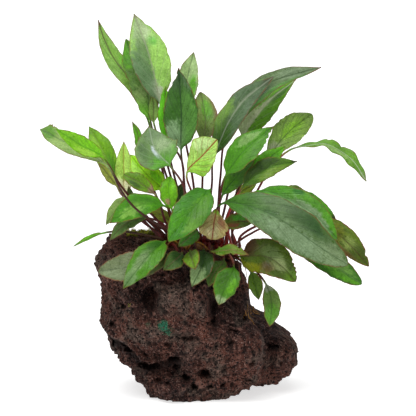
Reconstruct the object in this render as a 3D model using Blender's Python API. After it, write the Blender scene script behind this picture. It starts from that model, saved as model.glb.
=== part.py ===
"""Cryptocoryne that has grown onto a lump of lava stone.

The stone rests on its flat base, centred on the origin, with +Z up. The front of the plant
faces -Y. Places are written in millimetres as they look from the front, ten degrees above the
floor, and seen() turns them into metres of the model.
"""

import math
from typing import NamedTuple

import bmesh
import bpy
import numpy as np
from mathutils import Matrix, Vector, noise
from mathutils.geometry import interpolate_bezier

MM = 0.001
GAP = 0.35 * MM  # air between solids that touch in the real plant

# The view that the places are written in
VIEW_TILT = math.radians(10)
FRONT_FOOT_DEPTH = -36  # mm: the front edge of the base, where heights are measured from

# The stone
STONE_DEPTH = 43  # mm, from its middle to its front or back
STONE_MIDDLE = (-4, 50)  # mm across and above the floor
STONE_GRID = 14  # cuts along each side of the cube that it starts as
STONE_FULLNESS = 0.78  # 1 is an egg, less is blockier
LUMP_SIZE = 24  # mm
LUMP_HEIGHT = 7.0  # mm
KNOB_SIZE = 9  # mm
KNOB_HEIGHT = 3.8  # mm
RIM_ROUGHNESS = 0.3  # share of the lumps that shows at the outline, where the outline rules
LOBE_SETBACK = 13  # mm that the right foot lies behind the rest
LOBE_ACROSS = (36, 43)  # mm: it sets back over this stretch
LOBE_UP = (36, 54)  # mm: and joins the rest over this one
WELD = 0.001 * MM  # points nearer than this are one

# Stone outline seen from the front, clockwise from the top left, in mm across and mm up
STONE_OUTLINE = [
    (-52, 99), (-46, 101.5), (-38, 102), (-28, 101), (-17, 97), (-8, 93), (3, 91), (14, 87),
    (20, 81), (21.5, 73), (24.5, 66), (28.5, 59.5), (34, 54), (42, 49), (48, 43.5), (53, 40), (58, 35.5),
    (61, 29), (59, 21), (51, 14), (43, 9), (36, 11), (26, 8), (14, 1), (-4, -9), (-17, -6),
    (-25, 4), (-33, 13), (-39, 20), (-47, 26), (-52, 37), (-58, 47), (-58.5, 53), (-55.5, 59),
    (-55.5, 69), (-60, 80), (-61.5, 86), (-57.5, 92),
]

# Hollows in the front of the stone: mm across, mm up, how wide, how tall and how deep.
# One with a depth below zero is a swelling.
STONE_HOLLOWS = [
    (-28.5, 62, 4.5, 6.5, 9), (-30, 66, 12, 9, 3), (-50.5, 47, 3.5, 3.5, 4),
    (10.5, 60, 4.5, 17, 9), (4.2, 18, 4, 3.2, 6), (-6.5, 15, 4, 3.6, 5), (-2, 10, 3, 3, 4),
    (23, 43, 5, 3, 3), (-8, 39, 6, 3, 3), (46, 34, 8, 4.5, 6), (43.5, 25, 3, 14, 7),
    (19, 67, 8, 11, 6), (-48, 30, 7, 7, 4), (-24, 42, 24, 11, -6), (20, 28, 15, 14, -5),
    (0, 12, 30, 6, -3),
]
# The overhang low on the left: its lip from left to right, in mm across and mm up
LEDGE_LINE = [
    (-62, 52), (-51, 39), (-43, 36.5), (-37, 30.5), (-33, 25), (-28, 23.5), (-22, 25),
    (-16, 27.5), (-10, 28), (-2, 33),
]
LEDGE_END = (-14, -3)  # mm across over which it runs out
LEDGE_DEEP = 11  # mm cut away under it
LEDGE_TALL = 6  # mm below the lip where the cut starts to run out
LEDGE_FADE = 14  # mm that it takes
LEDGE_LIP = 1.5  # mm each way over which its lower edge turns in

# The rhizome lies along the top of the stone: x, y and z in mm
RHIZOME_PATH = [(-23, -21, 92), (-8, -16, 92), (6, -12, 90.5), (15, -11, 87.5), (23, -12, 83)]
RHIZOME_RADIUS = 3.4  # mm
RHIZOME_RINGS = 19  # leaf scars along it, numbered from 0 at its left end
SEAT_SINK = 0.5  # mm that the stone's top lies under the middle of the rhizome
SEAT_REACH = 9  # mm over which the stone rises to it
RHIZOME_STEPS = 24  # points on its path between two places
RHIZOME_SKIP = 6  # of those points, one in this many becomes a ring of the solid

# A leaf's section has six corners: a hexagon on the stalk that opens into a folded plate
SECTION_CORNERS = (150, 90, 30, -30, -90, -150)  # degrees, from the upper left
STALK_START = 3.5  # mm that a stalk leaves the rhizome straight
STALK_RADIUS = 0.85  # mm at the foot
NECK_RADIUS = 0.6  # mm where the blade starts
BLADE_THICK = 0.7  # mm at the midrib
EDGE_THICK = 0.4  # mm
TIP_WIDTH = 0.35  # mm
STALK_STATIONS = (0, 0.16, 0.42, 0.7, 1)  # sections, as shares of the stalk's length
BLADE_STATIONS = (0.15, 0.38, 0.62, 0.85, 1)  # and of the blade's
BASE_FULLNESS = 0.85  # how quickly the blade widens from its stalk: less is quicker
CURVE_STEPS = 24  # points on a leaf's midline between two of its places
REACH = 0.5 * MM  # how far each way along a line its direction is taken


class Leaf(NamedTuple):
    """One leaf: where its stalk leaves the rhizome, the places its midline passes, its form."""

    name: str
    ring: int  # leaf scar on the rhizome
    side: float  # degrees round the rhizome: 0 is up, positive is towards the back
    stalk: list  # places between the foot and the blade: mm across, up and back
    blade: list  # places from the start of the blade to its tip
    width: float  # mm
    face: tuple  # the way its upper side looks
    tint: str = "mid"
    fold: float = 0.16  # rise of the edges over the midrib, as a share of half the width
    widest: float = 0.45  # where it is widest, as a share of the blade
    point: float = 0.85  # how pointed the tip is: 0.5 is round, 1.2 is drawn out
    lean: float = 0  # how much further on, as a share, the left half is widest than the right


LEAVES = [
    # The tall group at the back
    Leaf("leaf_tall_far_left", 5, 54, [(-16, 112, 6), (-21, 140, 18)],
         [(-29, 168, 26), (-35, 187, 34), (-50, 207, 43), (-56.5, 220, 50), (-60, 231, 58)],
         12, (-0.1, -1, 0.4), "mid", 0.16, 0.5, 1.0),
    Leaf("leaf_tall_left", 6, 54, [(-11, 115, 2), (-20, 141, 12)],
         [(-28, 169, 19), (-30, 188, 24), (-36, 201, 29), (-43, 219, 40)],
         18, (-0.4, -1, 0.2), "mid", 0.3, 0.42, 0.7),
    Leaf("leaf_tall_hidden", 8, 54, [(-14, 130, 9), (-20, 150, 14)],
         [(-26, 168, 16), (-26, 177, 17), (-27, 186, 19)], 6, (0, -1, 0.1), "fresh"),
    Leaf("leaf_tallest", 7, 54, [(-8, 122, 0), (-9, 145, 6), (-17, 158, 9)],
         [(-22, 179, 11), (-28, 206, 17), (-38, 234, 30)],
         23.5, (0.15, -1, 0.25), "mid", 0.14, 0.48, 1.0),
    Leaf("leaf_centre_behind_left", 8, 16, [(-12, 130, -1)],
         [(-18, 157, 5), (-19, 173, 7), (-19, 190, 10)], 9, (-0.2, -1, 0.1), "fresh"),
    Leaf("leaf_centre", 9, 16, [(-6, 118, -10), (-8, 137, -9)],
         [(-9.5, 151, -8), (-9.5, 176, -5), (-11, 201, 4)],
         21, (-0.15, -1, 0.15), "dark", 0.12, 0.42, 0.9),
    Leaf("leaf_centre_behind_top", 9, 54, [(-2, 130, 6)],
         [(-9, 172, 17), (-6, 194, 24), (-2, 211, 35)], 14, (0.1, -1, 0.3), "mid"),
    Leaf("leaf_centre_behind_right", 10, 54, [(3, 125, 3)],
         [(4, 155, 11), (5, 171, 17), (2, 187, 26)], 15, (0.2, -1, 0.3), "olive", 0.16, 0.5, 0.7),
    Leaf("leaf_centre_yellow", 10, -22, [(1, 112, -20), (-3, 126, -19)],
         [(-6, 138, -18), (3, 148, -15), (12, 158, -12)],
         20.5, (0.1, -1, 0.5), "yellow", 0.1, 0.45, 0.7, 0.17),
    # The fan at the upper right
    Leaf("leaf_upper_right_front", 11, 16, [(7, 112, -9), (9, 132, -6)],
         [(10, 147, -4), (25, 178, 2), (46, 196, 12)], 16, (-0.3, -1, 0.5), "dark"),
    Leaf("leaf_upper_right_long", 12, 54, [(12, 112, -1), (14, 135, 7)],
         [(18, 161, 14), (42, 191, 25), (75, 202, 38)], 15, (-0.2, -0.8, 0.8), "dark"),
    Leaf("leaf_upper_right_bright", 13, 54, [(15, 110, 0), (20, 132, 12)],
         [(27, 158, 24), (38.5, 177, 34), (60, 195, 50)],
         18, (0, -1, 0.5), "fresh", 0.16, 0.38, 1.1),
    Leaf("leaf_right_upright", 13, -22, [(13, 110, -17), (14, 125, -16)],
         [(17, 136, -14), (29, 152, -12), (46, 166, -6)],
         17, (-0.2, -1, 0.4), "mid", 0.16, 0.45, 1.0),
    Leaf("leaf_right_small", 12, 16, [(12, 110, -8)],
         [(15, 124, -8), (24, 136, -6), (35, 149, -2)], 11, (0, -1, 0.3), "mid"),
    Leaf("leaf_right_blunt", 15, 54, [(19, 108, 2), (28, 127, 12)],
         [(41, 145, 20), (54, 161.5, 30), (69.5, 174, 44)],
         18, (0, -0.9, 0.6), "olive", 0.12, 0.55, 0.6),
    Leaf("leaf_right_drooping", 17, 16, [(21, 106, -6), (33, 122, 0), (45, 142, 9)],
         [(56, 152, 12), (69, 154.9, 16), (77, 155.4, 17), (85, 152, 16.5), (94, 145, 15),
          (102, 133, 12)], 10.5, (0, -0.45, 1), "fresh", 0.16, 0.6),
    Leaf("leaf_right_narrow", 14, 16, [(18, 112, -7)],
         [(29, 135, -5), (43, 146.5, 0), (53, 154, 6)], 11, (0, -1, 0.4), "fresh"),
    Leaf("leaf_right_dark", 15, -22, [(18, 110, -18)],
         [(27, 129, -14), (42.5, 141, -12), (60, 145, -6)],
         12.5, (0, -1, 0.5), "dark", 0.16, 0.45, 1.05),
    Leaf("leaf_right_yellow", 15, 16, [(20, 112, -5)],
         [(23, 124, 0), (29, 128, 3), (36, 132, 6)], 7, (0, -1, 0.5), "yellow"),
    # The leaves that spread low to the right
    Leaf("leaf_biggest", 12, -22, [(10, 104, -20)],
         [(14, 119, -27), (32, 118, -38), (53, 108, -46), (72, 94.5, -48), (90, 83, -46)],
         26, (0, -1, 0.5), "dark", 0.12, 0.52, 0.6),
    Leaf("leaf_low_right_upper", 16, -22, [(19, 106, -22), (27, 118, -23)],
         [(36, 127, -24), (56, 121.5, -29), (71, 112, -32), (84, 98, -34)],
         18, (0, -1, 0.5), "dark", 0.14, 0.5, 0.7),
    Leaf("leaf_low_right_back", 16, 16, [(22, 105, -10), (38, 120, -8)],
         [(54, 126, -8), (71, 117, -9), (86, 104, -11)], 13, (0.1, -0.9, 0.6), "fresh"),
    Leaf("leaf_low_right_olive", 18, 16, [(26, 100, -14), (40, 108, -15)],
         [(60, 114, -16), (78, 106, -17), (91, 95.5, -18), (103, 82, -20)],
         15, (0.1, -1, 0.4), "olive", 0.14, 0.55, 0.7),
    Leaf("leaf_low_right_under", 16, -60, [(21, 94, -24), (31, 101, -28)],
         [(43, 105, -30), (73, 88.5, -36), (98.5, 71.5, -37)],
         15, (0, -1, 0.5), "fresh", 0.14, 0.6, 0.55),
    Leaf("leaf_low_right_tip", 14, 54, [(17, 103, -3), (34, 121, 1)],
         [(50, 126.5, 3), (59, 127.2, 5), (67.5, 124.5, 8)], 7, (0, -1, 0.6), "olive"),
    Leaf("leaf_under_biggest", 14, -22, [(13, 101, -20)],
         [(15, 106, -24), (24, 109, -29), (34, 109, -31)],
         10, (0, -1, 0.4), "olive", 0.14, 0.5, 0.7),
    Leaf("leaf_hanging_olive", 17, -60, [],
         [(25, 88, -24), (41, 88, -35), (51, 82, -39), (59, 73, -41)],
         22, (-0.1, -1, 0.4), "olive", 0.12, 0.42, 0.65),
    Leaf("leaf_hanging_dark", 18, -60, [],
         [(32, 79, -22), (35, 71, -24), (37, 62, -25)], 9, (0.2, -1, 0.2), "dark"),
    Leaf("leaf_hanging_lowest", 18, -22, [(33, 82, -14)],
         [(41, 72, -18), (44.7, 60, -25), (43.5, 46, -29)],
         11, (0.2, -1, 0.2), "mid", 0.16, 0.5, 0.75),
    # The leaves in front
    Leaf("leaf_front_pale", 15, -60, [],
         [(22, 82, -38), (17, 71, -44), (13, 59, -46)], 15, (0, -1, 0.3), "fresh"),
    Leaf("leaf_front_behind_pale", 13, -60, [],
         [(16, 86, -34), (10, 78, -40), (7, 70, -42)], 11, (-0.3, -1, 0.3), "mid"),
    Leaf("leaf_front_dark", 10, -60, [],
         [(4, 92, -30), (3, 83, -41), (-3, 70, -46)], 14, (0, -1, 0.3), "dark"),
    Leaf("leaf_front_short", 7, -60, [],
         [(-4, 91, -38), (-3, 87, -45), (-1, 80.5, -50)], 11, (-0.3, -1, 0.4), "mid"),
    Leaf("leaf_front_broad", 9, -22, [(3, 108, -22), (6, 120, -28)],
         [(8, 128, -34), (-3, 115, -46), (-17, 97, -54)],
         21, (-0.1, -1, 0.5), "fresh", 0.1, 0.45, 0.75),
    Leaf("leaf_under_broad", 8, -22, [],
         [(0, 103, -26), (-5, 99, -33), (-11, 94, -37)], 10, (0, -1, 0.5), "dark"),
    Leaf("leaf_front_underside", 11, -22, [(5, 105, -26)],
         [(11, 116, -31), (10, 107, -38), (9, 98, -40)],
         18, (0, -1, -0.3), "underside", 0.1, 0.65, 0.5),
    Leaf("leaf_front_arched", 11, -60, [],
         [(9, 91, -37), (21, 92, -43), (31, 89, -43)], 8, (0, -0.8, 0.8), "fresh"),
    Leaf("leaf_on_stone", 2, -60, [],
         [(-13, 90, -37), (-35, 83, -45), (-59, 79, -40)],
         18, (0, -1, 0.5), "olive", 0.12, 0.55, 0.6),
    Leaf("leaf_over_stone", 0, -76, [],
         [(-19, 97, -36), (-30, 87, -51), (-44, 69, -55)], 16, (-0.2, -1, 0.4), "mid"),
    Leaf("leaf_front_left_dark", 4, -60, [],
         [(-9, 90, -38), (-13, 86, -44), (-20, 80, -48)], 11, (0, -1, 0.3), "dark"),
    # The left group
    Leaf("leaf_left_glossy", 7, -22, [(-5, 112, -20), (-8, 130, -20)],
         [(-16, 142, -20), (-25, 152, -14), (-29, 166, -3)],
         27, (0, -1, 0.8), "mid", 0.16, 0.36, 1.0),
    Leaf("leaf_left_bud", 4, 54, [(-26, 128, 5)],
         [(-35, 152, 12), (-35.5, 161, 14), (-39, 169, 17)], 5, (-0.3, -1, 0), "fresh"),
    Leaf("leaf_left_bright", 5, -22, [(-16, 112, -16)],
         [(-20, 127, -14), (-31, 138, -9), (-40, 149, -4)],
         16, (-0.2, -1, 0.6), "fresh", 0.16, 0.45, 0.9),
    Leaf("leaf_left_dark", 3, -22, [(-19, 109, -21), (-22, 119, -23)],
         [(-25, 125, -24), (-34, 132, -25), (-44, 137, -22)],
         10, (-0.2, -1, 0.6), "dark", 0.16, 0.55, 0.6),
    Leaf("leaf_left_yellow", 2, 54, [(-28, 108, -6)],
         [(-42, 121, -5), (-44, 140, 1), (-44, 157, 9)], 11, (0.2, -1, 0.3), "yellow"),
    Leaf("leaf_left_tall_green", 0, 35, [(-34, 112, -2)],
         [(-46, 128, 2), (-57, 152, 8), (-65, 166, 16)],
         13.5, (-0.2, -1, 0.4), "mid", 0.16, 0.58, 0.95),
    Leaf("leaf_left_olive", 0, -3, [(-36, 112, -13)],
         [(-48, 130, -12), (-54, 138, -10), (-59, 144, -8)], 6, (-0.3, -1, 0.3), "olive"),
    Leaf("leaf_left_tiny", 3, 16, [(-26, 108, -12)],
         [(-39, 121, -12), (-40, 125, -12), (-41, 130, -11)], 4, (0, -1, 0.2), "dark"),
    Leaf("leaf_far_left_long", 1, -22,
         [(-17, 103, -30), (-28, 110, -35), (-38, 118, -36), (-45, 127, -34)],
         [(-53, 141.5, -28), (-67, 150.5, -20), (-82, 158, -14), (-94, 164, -10)],
         12, (0, -1, 0.5), "mid", 0.16, 0.6, 0.85),
    Leaf("leaf_far_left_bright", 1, 16, [(-32, 114, -16), (-46, 131, -20)],
         [(-56, 147, -26), (-70, 155, -32), (-84, 164, -35)], 11, (0, -1, 0.5), "fresh"),
    Leaf("leaf_far_left_curled", 0, -40, [(-32, 101, -27), (-46, 103, -26)],
         [(-56, 102, -24), (-65, 98.3, -22), (-74, 94, -20)], 4, (0, -0.6, 1), "fresh", 0.5),
    Leaf("leaf_low_left_bright", 4, -22, [(-14, 109, -22)],
         [(-19, 118, -25), (-36, 118, -31), (-52, 108, -31)],
         15, (0, -1, 0.5), "fresh", 0.16, 0.5, 0.95),
    Leaf("leaf_low_left_pale", 2, 16, [(-26, 112, -19)],
         [(-39, 122, -23), (-47, 117, -23), (-54.5, 107, -23)], 10, (-0.6, -1, 0.5), "mid"),
    Leaf("leaf_low_left_narrow", 2, -22, [(-20, 107, -24)],
         [(-30, 111, -26), (-42, 108, -27), (-52, 98, -28)], 9, (0, -1, 0.6), "dark"),
    # The short leaves in the heart of the plant
    Leaf("leaf_heart_bright", 6, -22, [(-12, 108, -21)],
         [(-15, 116, -22), (-17, 127, -21), (-16, 136, -17)],
         11, (0, -1, 0.5), "fresh", 0.16, 0.5, 0.65),
    Leaf("leaf_heart_dark", 6, 16, [(-11, 108, -12)],
         [(-11, 118, -12), (-11, 125, -11), (-9, 132, -11)], 7, (0, -1, 0.3), "dark"),
    Leaf("leaf_heart_yellow", 5, 16, [(-12, 104, -12)],
         [(-15, 108, -12), (-22, 113, -13), (-30, 117, -13)], 8, (0, -1, 0.5), "yellow"),
]

# Colour, roughness of each surface
TINTS = {
    "fresh": ((0.16, 0.42, 0.05, 1), 0.35),
    "mid": ((0.08, 0.25, 0.06, 1), 0.32),
    "dark": ((0.035, 0.12, 0.04, 1), 0.28),
    "olive": ((0.16, 0.22, 0.07, 1), 0.38),
    "yellow": ((0.33, 0.46, 0.10, 1), 0.4),
    "underside": ((0.42, 0.30, 0.22, 1), 0.55),
    "stone": ((0.045, 0.024, 0.019, 1), 0.95),
    "rhizome": ((0.19, 0.11, 0.05, 1), 0.7),
}


def seen(across, up, depth):
    """The point of the model that looks to be at these millimetres from the front."""
    rise = (depth - FRONT_FOOT_DEPTH) * math.sin(VIEW_TILT)
    return Vector((across, depth, (up - rise) / math.cos(VIEW_TILT))) * MM


def clear_scene():
    for old in list(bpy.data.objects):
        bpy.data.objects.remove(old)


def new_collection(name):
    collection = bpy.data.collections.new(name)
    bpy.context.scene.collection.children.link(collection)
    return collection


def surface_material(tint):
    """The material of that tint, made on first use."""
    material = bpy.data.materials.get(tint)
    if material is None:
        colour, roughness = TINTS[tint]
        material = bpy.data.materials.new(tint)
        material.use_nodes = True
        shader = material.node_tree.nodes["Principled BSDF"]
        shader.inputs["Base Color"].default_value = colour
        shader.inputs["Roughness"].default_value = roughness
        shader.inputs["Metallic"].default_value = 0
    return material


def object_from(bm, name, tint, collection):
    mesh = bpy.data.meshes.new(name)
    bm.to_mesh(mesh)
    bm.free()
    mesh.materials.append(surface_material(tint))
    mesh.shade_smooth()
    piece = bpy.data.objects.new(name, mesh)
    collection.objects.link(piece)
    return piece


def smooth_path(places, steps):
    """Points along a smooth curve through the places, with the places among them."""
    points = []
    last = len(places) - 1
    for i in range(last):
        here = places[i]
        after = places[i + 1]
        span = (after - here).length / 3
        leave = (after - places[max(i - 1, 0)]).normalized() * span
        arrive = (places[min(i + 2, last)] - here).normalized() * span
        points += interpolate_bezier(here, here + leave, after - arrive, after, steps)[:-1]
    return points + [places[-1]]


def along(points, distances):
    """The point and the direction at each distance along a polyline."""
    lengths = [(b - a).length for a, b in zip(points, points[1:])]
    reached = np.concatenate([[0], np.cumsum(lengths)])
    places = []
    for distance in distances:
        xyz = [np.interp(distance, reached, [p[k] for p in points]) for k in range(3)]
        ahead = [np.interp(distance + REACH, reached, [p[k] for p in points]) for k in range(3)]
        behind = [np.interp(distance - REACH, reached, [p[k] for p in points]) for k in range(3)]
        places.append((Vector(xyz), (Vector(ahead) - Vector(behind)).normalized()))
    return places


def outline_reach():
    """The stone's outline as a radius in mm for each direction about its middle."""
    angles = []
    radii = []
    for across, up in STONE_OUTLINE:
        height = seen(across, up, 0).z / MM
        x = across - STONE_MIDDLE[0]
        z = height - STONE_MIDDLE[1]
        angles.append(math.atan2(z, x))
        radii.append(math.hypot(x, z))
    return angles, radii


def bell(distance, radius):
    return math.exp(-((distance / radius) ** 2))


def step_between(value, low, high):
    share = min(max((value - low) / (high - low), 0), 1)
    return share * share * (3 - 2 * share)


def carve(x, y, z):
    """How far back in mm a point of the stone's front is pushed by the hollows and the ledge."""
    back = 0
    for across, up, wide, tall, deep in STONE_HOLLOWS:
        height = seen(across, up, y).z / MM
        back += deep * bell(math.hypot((x - across) / wide, (z - height) / tall), 1)
    places, ups = zip(*LEDGE_LINE)
    lip = seen(0, float(np.interp(x, places, ups)), y).z / MM
    below = step_between(lip - z, -LEDGE_LIP, LEDGE_LIP)
    below *= 1 - step_between(lip - z, LEDGE_TALL, LEDGE_TALL + LEDGE_FADE)
    back += LEDGE_DEEP * below * (1 - step_between(x, *LEDGE_END))
    return back


def seat_lift(x, y, z):
    """How far up in mm a point of the stone's top is lifted to carry the rhizome."""
    xs, ys, zs = zip(*RHIZOME_PATH)
    beside = y - float(np.interp(x, xs, ys))
    beyond = max(xs[0] - x, x - xs[-1], 0)
    missing = float(np.interp(x, xs, zs)) - SEAT_SINK - z
    return max(missing, 0) * bell(math.hypot(beside, beyond), SEAT_REACH)


def stone_point(direction, angles, radii):
    """A direction from the stone's middle becomes a point of its surface, in metres."""
    flat = math.hypot(direction.x, direction.z)
    angle = math.atan2(direction.z, direction.x)
    reach = float(np.interp(angle, angles, radii, period=2 * math.pi)) * flat**STONE_FULLNESS
    x = STONE_MIDDLE[0] + reach * math.cos(angle)
    z = STONE_MIDDLE[1] + reach * math.sin(angle)
    y = math.copysign(STONE_DEPTH * abs(direction.y) ** STONE_FULLNESS, direction.y)
    y += LOBE_SETBACK * step_between(x, *LOBE_ACROSS) * (1 - step_between(z, *LOBE_UP))
    rough = RIM_ROUGHNESS + (1 - RIM_ROUGHNESS) * abs(direction.y)
    place = Vector((x, y, z))
    swell = LUMP_HEIGHT * noise.noise(place / LUMP_SIZE)
    swell += KNOB_HEIGHT * noise.noise(place / KNOB_SIZE)
    place += direction * swell * rough
    if direction.y < 0:
        place.y += carve(place.x, place.y, place.z)
    if direction.z > 0:
        place.z += seat_lift(*place)
    return place * MM


def make_stone(collection, cutters):
    angles, radii = outline_reach()
    bm = bmesh.new()
    bmesh.ops.create_cube(bm, size=2)
    bmesh.ops.subdivide_edges(bm, edges=bm.edges[:], cuts=STONE_GRID, use_grid_fill=True)
    for vertex in bm.verts:
        vertex.co = stone_point(vertex.co.normalized(), angles, radii)
    bmesh.ops.bisect_plane(
        bm, geom=bm.verts[:] + bm.edges[:] + bm.faces[:], dist=WELD,
        plane_co=(0, 0, 0), plane_no=(0, 0, -1), clear_outer=True,
    )
    rim = [edge for edge in bm.edges if edge.is_boundary]
    bmesh.ops.contextual_create(bm, geom=rim)
    bmesh.ops.triangulate(bm, faces=bm.faces[:])
    bmesh.ops.recalc_face_normals(bm, faces=bm.faces[:])
    stone = object_from(bm, "stone", "stone", collection)
    groove = tube("rhizome_groove", RHIZOME_RADIUS * MM + GAP, cutters)
    groove.hide_render = True
    groove.display_type = "WIRE"
    cut = stone.modifiers.new("seat of the rhizome", "BOOLEAN")
    cut.operation = "DIFFERENCE"
    cut.object = groove
    return stone


def rhizome_line():
    return smooth_path([Vector(place) * MM for place in RHIZOME_PATH], RHIZOME_STEPS)


def tube(name, radius, collection):
    """A round tube with closed ends along the rhizome's path, as a mesh."""
    curve = bpy.data.curves.new(name, "CURVE")
    curve.dimensions = "3D"
    curve.bevel_depth = radius
    curve.bevel_resolution = 2
    curve.use_fill_caps = True
    points = rhizome_line()[::RHIZOME_SKIP] + [rhizome_line()[-1]]
    spline = curve.splines.new("POLY")
    spline.points.add(len(points) - 1)
    for slot, point in zip(spline.points, points):
        slot.co = (*point, 1)
    guide = bpy.data.objects.new(name + "_guide", curve)
    collection.objects.link(guide)
    graph = bpy.context.evaluated_depsgraph_get()
    mesh = bpy.data.meshes.new_from_object(guide.evaluated_get(graph))
    bpy.data.objects.remove(guide)
    bm = bmesh.new()
    bm.from_mesh(mesh)
    bmesh.ops.remove_doubles(bm, verts=bm.verts[:], dist=WELD)
    bmesh.ops.recalc_face_normals(bm, faces=bm.faces[:])
    return object_from(bm, name, "rhizome", collection)


def foot_of(leaf, line):
    """Where the leaf's stalk leaves the rhizome, and which way."""
    length = sum((b - a).length for a, b in zip(line, line[1:]))
    share = (leaf.ring + 0.5) / RHIZOME_RINGS
    point, forward = along(line, [length * share])[0]
    up = Vector((0, 0, 1))
    up = (up - forward * up.dot(forward)).normalized()
    outward = Matrix.Rotation(math.radians(-leaf.side), 3, forward) @ up
    return point + outward * (RHIZOME_RADIUS * MM + GAP), outward


def midline(leaf, line):
    """The leaf's midline in two runs of points: its stalk and its blade."""
    foot, outward = foot_of(leaf, line)
    start = foot + outward * STALK_START * MM
    stalk = [foot, start] + [seen(*place) for place in leaf.stalk]
    blade = [seen(*place) for place in leaf.blade]
    points = smooth_path(stalk + blade, CURVE_STEPS)
    start_of_blade = len(points) - 1 - (len(blade) - 1) * (CURVE_STEPS - 1)
    return points[: start_of_blade + 1], points[start_of_blade:]


def half_width(leaf, share, side):
    """The blade's left (-1) or right (1) half in mm at a share of its length."""
    widest = leaf.widest - side * leaf.lean
    bent = share ** (math.log(0.5) / math.log(widest))
    fullness = BASE_FULLNESS if share < widest else leaf.point
    return max(leaf.width / 2 * abs(math.sin(math.pi * bent)) ** fullness, TIP_WIDTH)


def stalk_ring(radius):
    """The corners of the stalk's section as sideways and outwards, in mm."""
    turns = [math.radians(corner) for corner in SECTION_CORNERS]
    return [(radius * math.cos(turn), radius * math.sin(turn)) for turn in turns]


def blade_ring(left, right, fold):
    """The same corners where the section is a plate folded along the midrib."""
    half = min(left, right)
    thick = min(BLADE_THICK, half) / 2
    edge = min(EDGE_THICK, half) / 2
    return [(-left, fold * left + edge), (0, thick), (right, fold * right + edge),
            (right, fold * right - edge), (0, -thick), (-left, fold * left - edge)]


def make_leaf(leaf, line, collection):
    """A loft from the round stalk into the folded blade."""
    stalk, blade = midline(leaf, line)
    stalk_length = sum((b - a).length for a, b in zip(stalk, stalk[1:]))
    blade_length = sum((b - a).length for a, b in zip(blade, blade[1:]))
    face = Vector(leaf.face).normalized()
    sections = []
    for share, (point, forward) in zip(
        BLADE_STATIONS, along(blade, [s * blade_length for s in BLADE_STATIONS])
    ):
        outward = (face - forward * face.dot(forward)).normalized()
        halves = [half_width(leaf, share, side) for side in (-1, 1)]
        sections.append((point, forward, outward, blade_ring(*halves, leaf.fold)))
    outward = sections[0][2]
    for share, (point, forward) in reversed(
        list(zip(STALK_STATIONS, along(stalk, [s * stalk_length for s in STALK_STATIONS])))
    ):
        outward = (outward - forward * outward.dot(forward)).normalized()
        radius = STALK_RADIUS + (NECK_RADIUS - STALK_RADIUS) * share
        sections.insert(0, (point, forward, outward, stalk_ring(radius)))
    bm = bmesh.new()
    rings = []
    for point, forward, outward, corners in sections:
        sideways = outward.cross(forward)
        ring = []
        for across, out in corners:
            ring.append(bm.verts.new(point + (outward * out - sideways * across) * MM))
        rings.append(ring)
    for ring, following in zip(rings, rings[1:]):
        for i in range(len(ring)):
            j = (i + 1) % len(ring)
            bm.faces.new((ring[i], ring[j], following[j], following[i]))
    bm.faces.new(rings[0])
    bm.faces.new(rings[-1])
    bmesh.ops.recalc_face_normals(bm, faces=bm.faces[:])
    return object_from(bm, leaf.name, leaf.tint, collection)


def main():
    clear_scene()
    plant = new_collection("cryptocoryne on stone")
    cutters = new_collection("cutters")
    make_stone(plant, cutters)
    tube("rhizome", RHIZOME_RADIUS * MM, plant)
    line = rhizome_line()
    for leaf in LEAVES:
        make_leaf(leaf, line, plant)


main()
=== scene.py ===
"""Looks of the crypt on its lava stone: fine leaves, a porous stone, rootlets and moss.

Places are written in millimetres as they look from the front, ten degrees above the floor,
as in the part itself, and seen() turns them into metres of the model.
"""

import math
import random
from typing import NamedTuple

import bmesh
import bpy
import numpy as np
from mathutils import Matrix, Vector, noise
from mathutils.bvhtree import BVHTree
from mathutils.geometry import interpolate_bezier


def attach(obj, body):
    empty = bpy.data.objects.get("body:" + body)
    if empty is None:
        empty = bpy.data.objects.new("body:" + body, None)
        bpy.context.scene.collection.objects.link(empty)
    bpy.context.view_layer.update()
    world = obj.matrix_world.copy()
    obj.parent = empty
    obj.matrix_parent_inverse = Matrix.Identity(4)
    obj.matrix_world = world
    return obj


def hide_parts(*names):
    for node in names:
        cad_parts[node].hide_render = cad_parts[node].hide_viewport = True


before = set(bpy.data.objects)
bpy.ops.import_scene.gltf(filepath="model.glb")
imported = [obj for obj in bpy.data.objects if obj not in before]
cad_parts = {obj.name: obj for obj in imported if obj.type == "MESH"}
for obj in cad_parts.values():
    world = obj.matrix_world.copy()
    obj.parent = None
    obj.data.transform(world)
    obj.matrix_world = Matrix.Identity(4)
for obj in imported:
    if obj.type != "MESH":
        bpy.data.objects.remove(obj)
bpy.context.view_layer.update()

MM = 0.001
GAP = 0.35 * MM
UP = Vector((0, 0, 1))

# The view that the places are written in
VIEW_TILT = math.radians(10)
VIEW_WAY = Vector((0, math.cos(VIEW_TILT), -math.sin(VIEW_TILT)))
FRONT_FOOT_DEPTH = -36  # mm: where heights are measured from

# The rhizome, as in the part
RHIZOME_PATH = [(-23, -21, 92), (-8, -16, 92), (6, -12, 90.5), (15, -11, 87.5), (23, -12, 83)]
RHIZOME_RADIUS = 3.4  # mm
RHIZOME_RINGS = 19
RHIZOME_STEPS = 24
SEAT_SINK = 0.5
SEAT_REACH = 9

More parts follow.
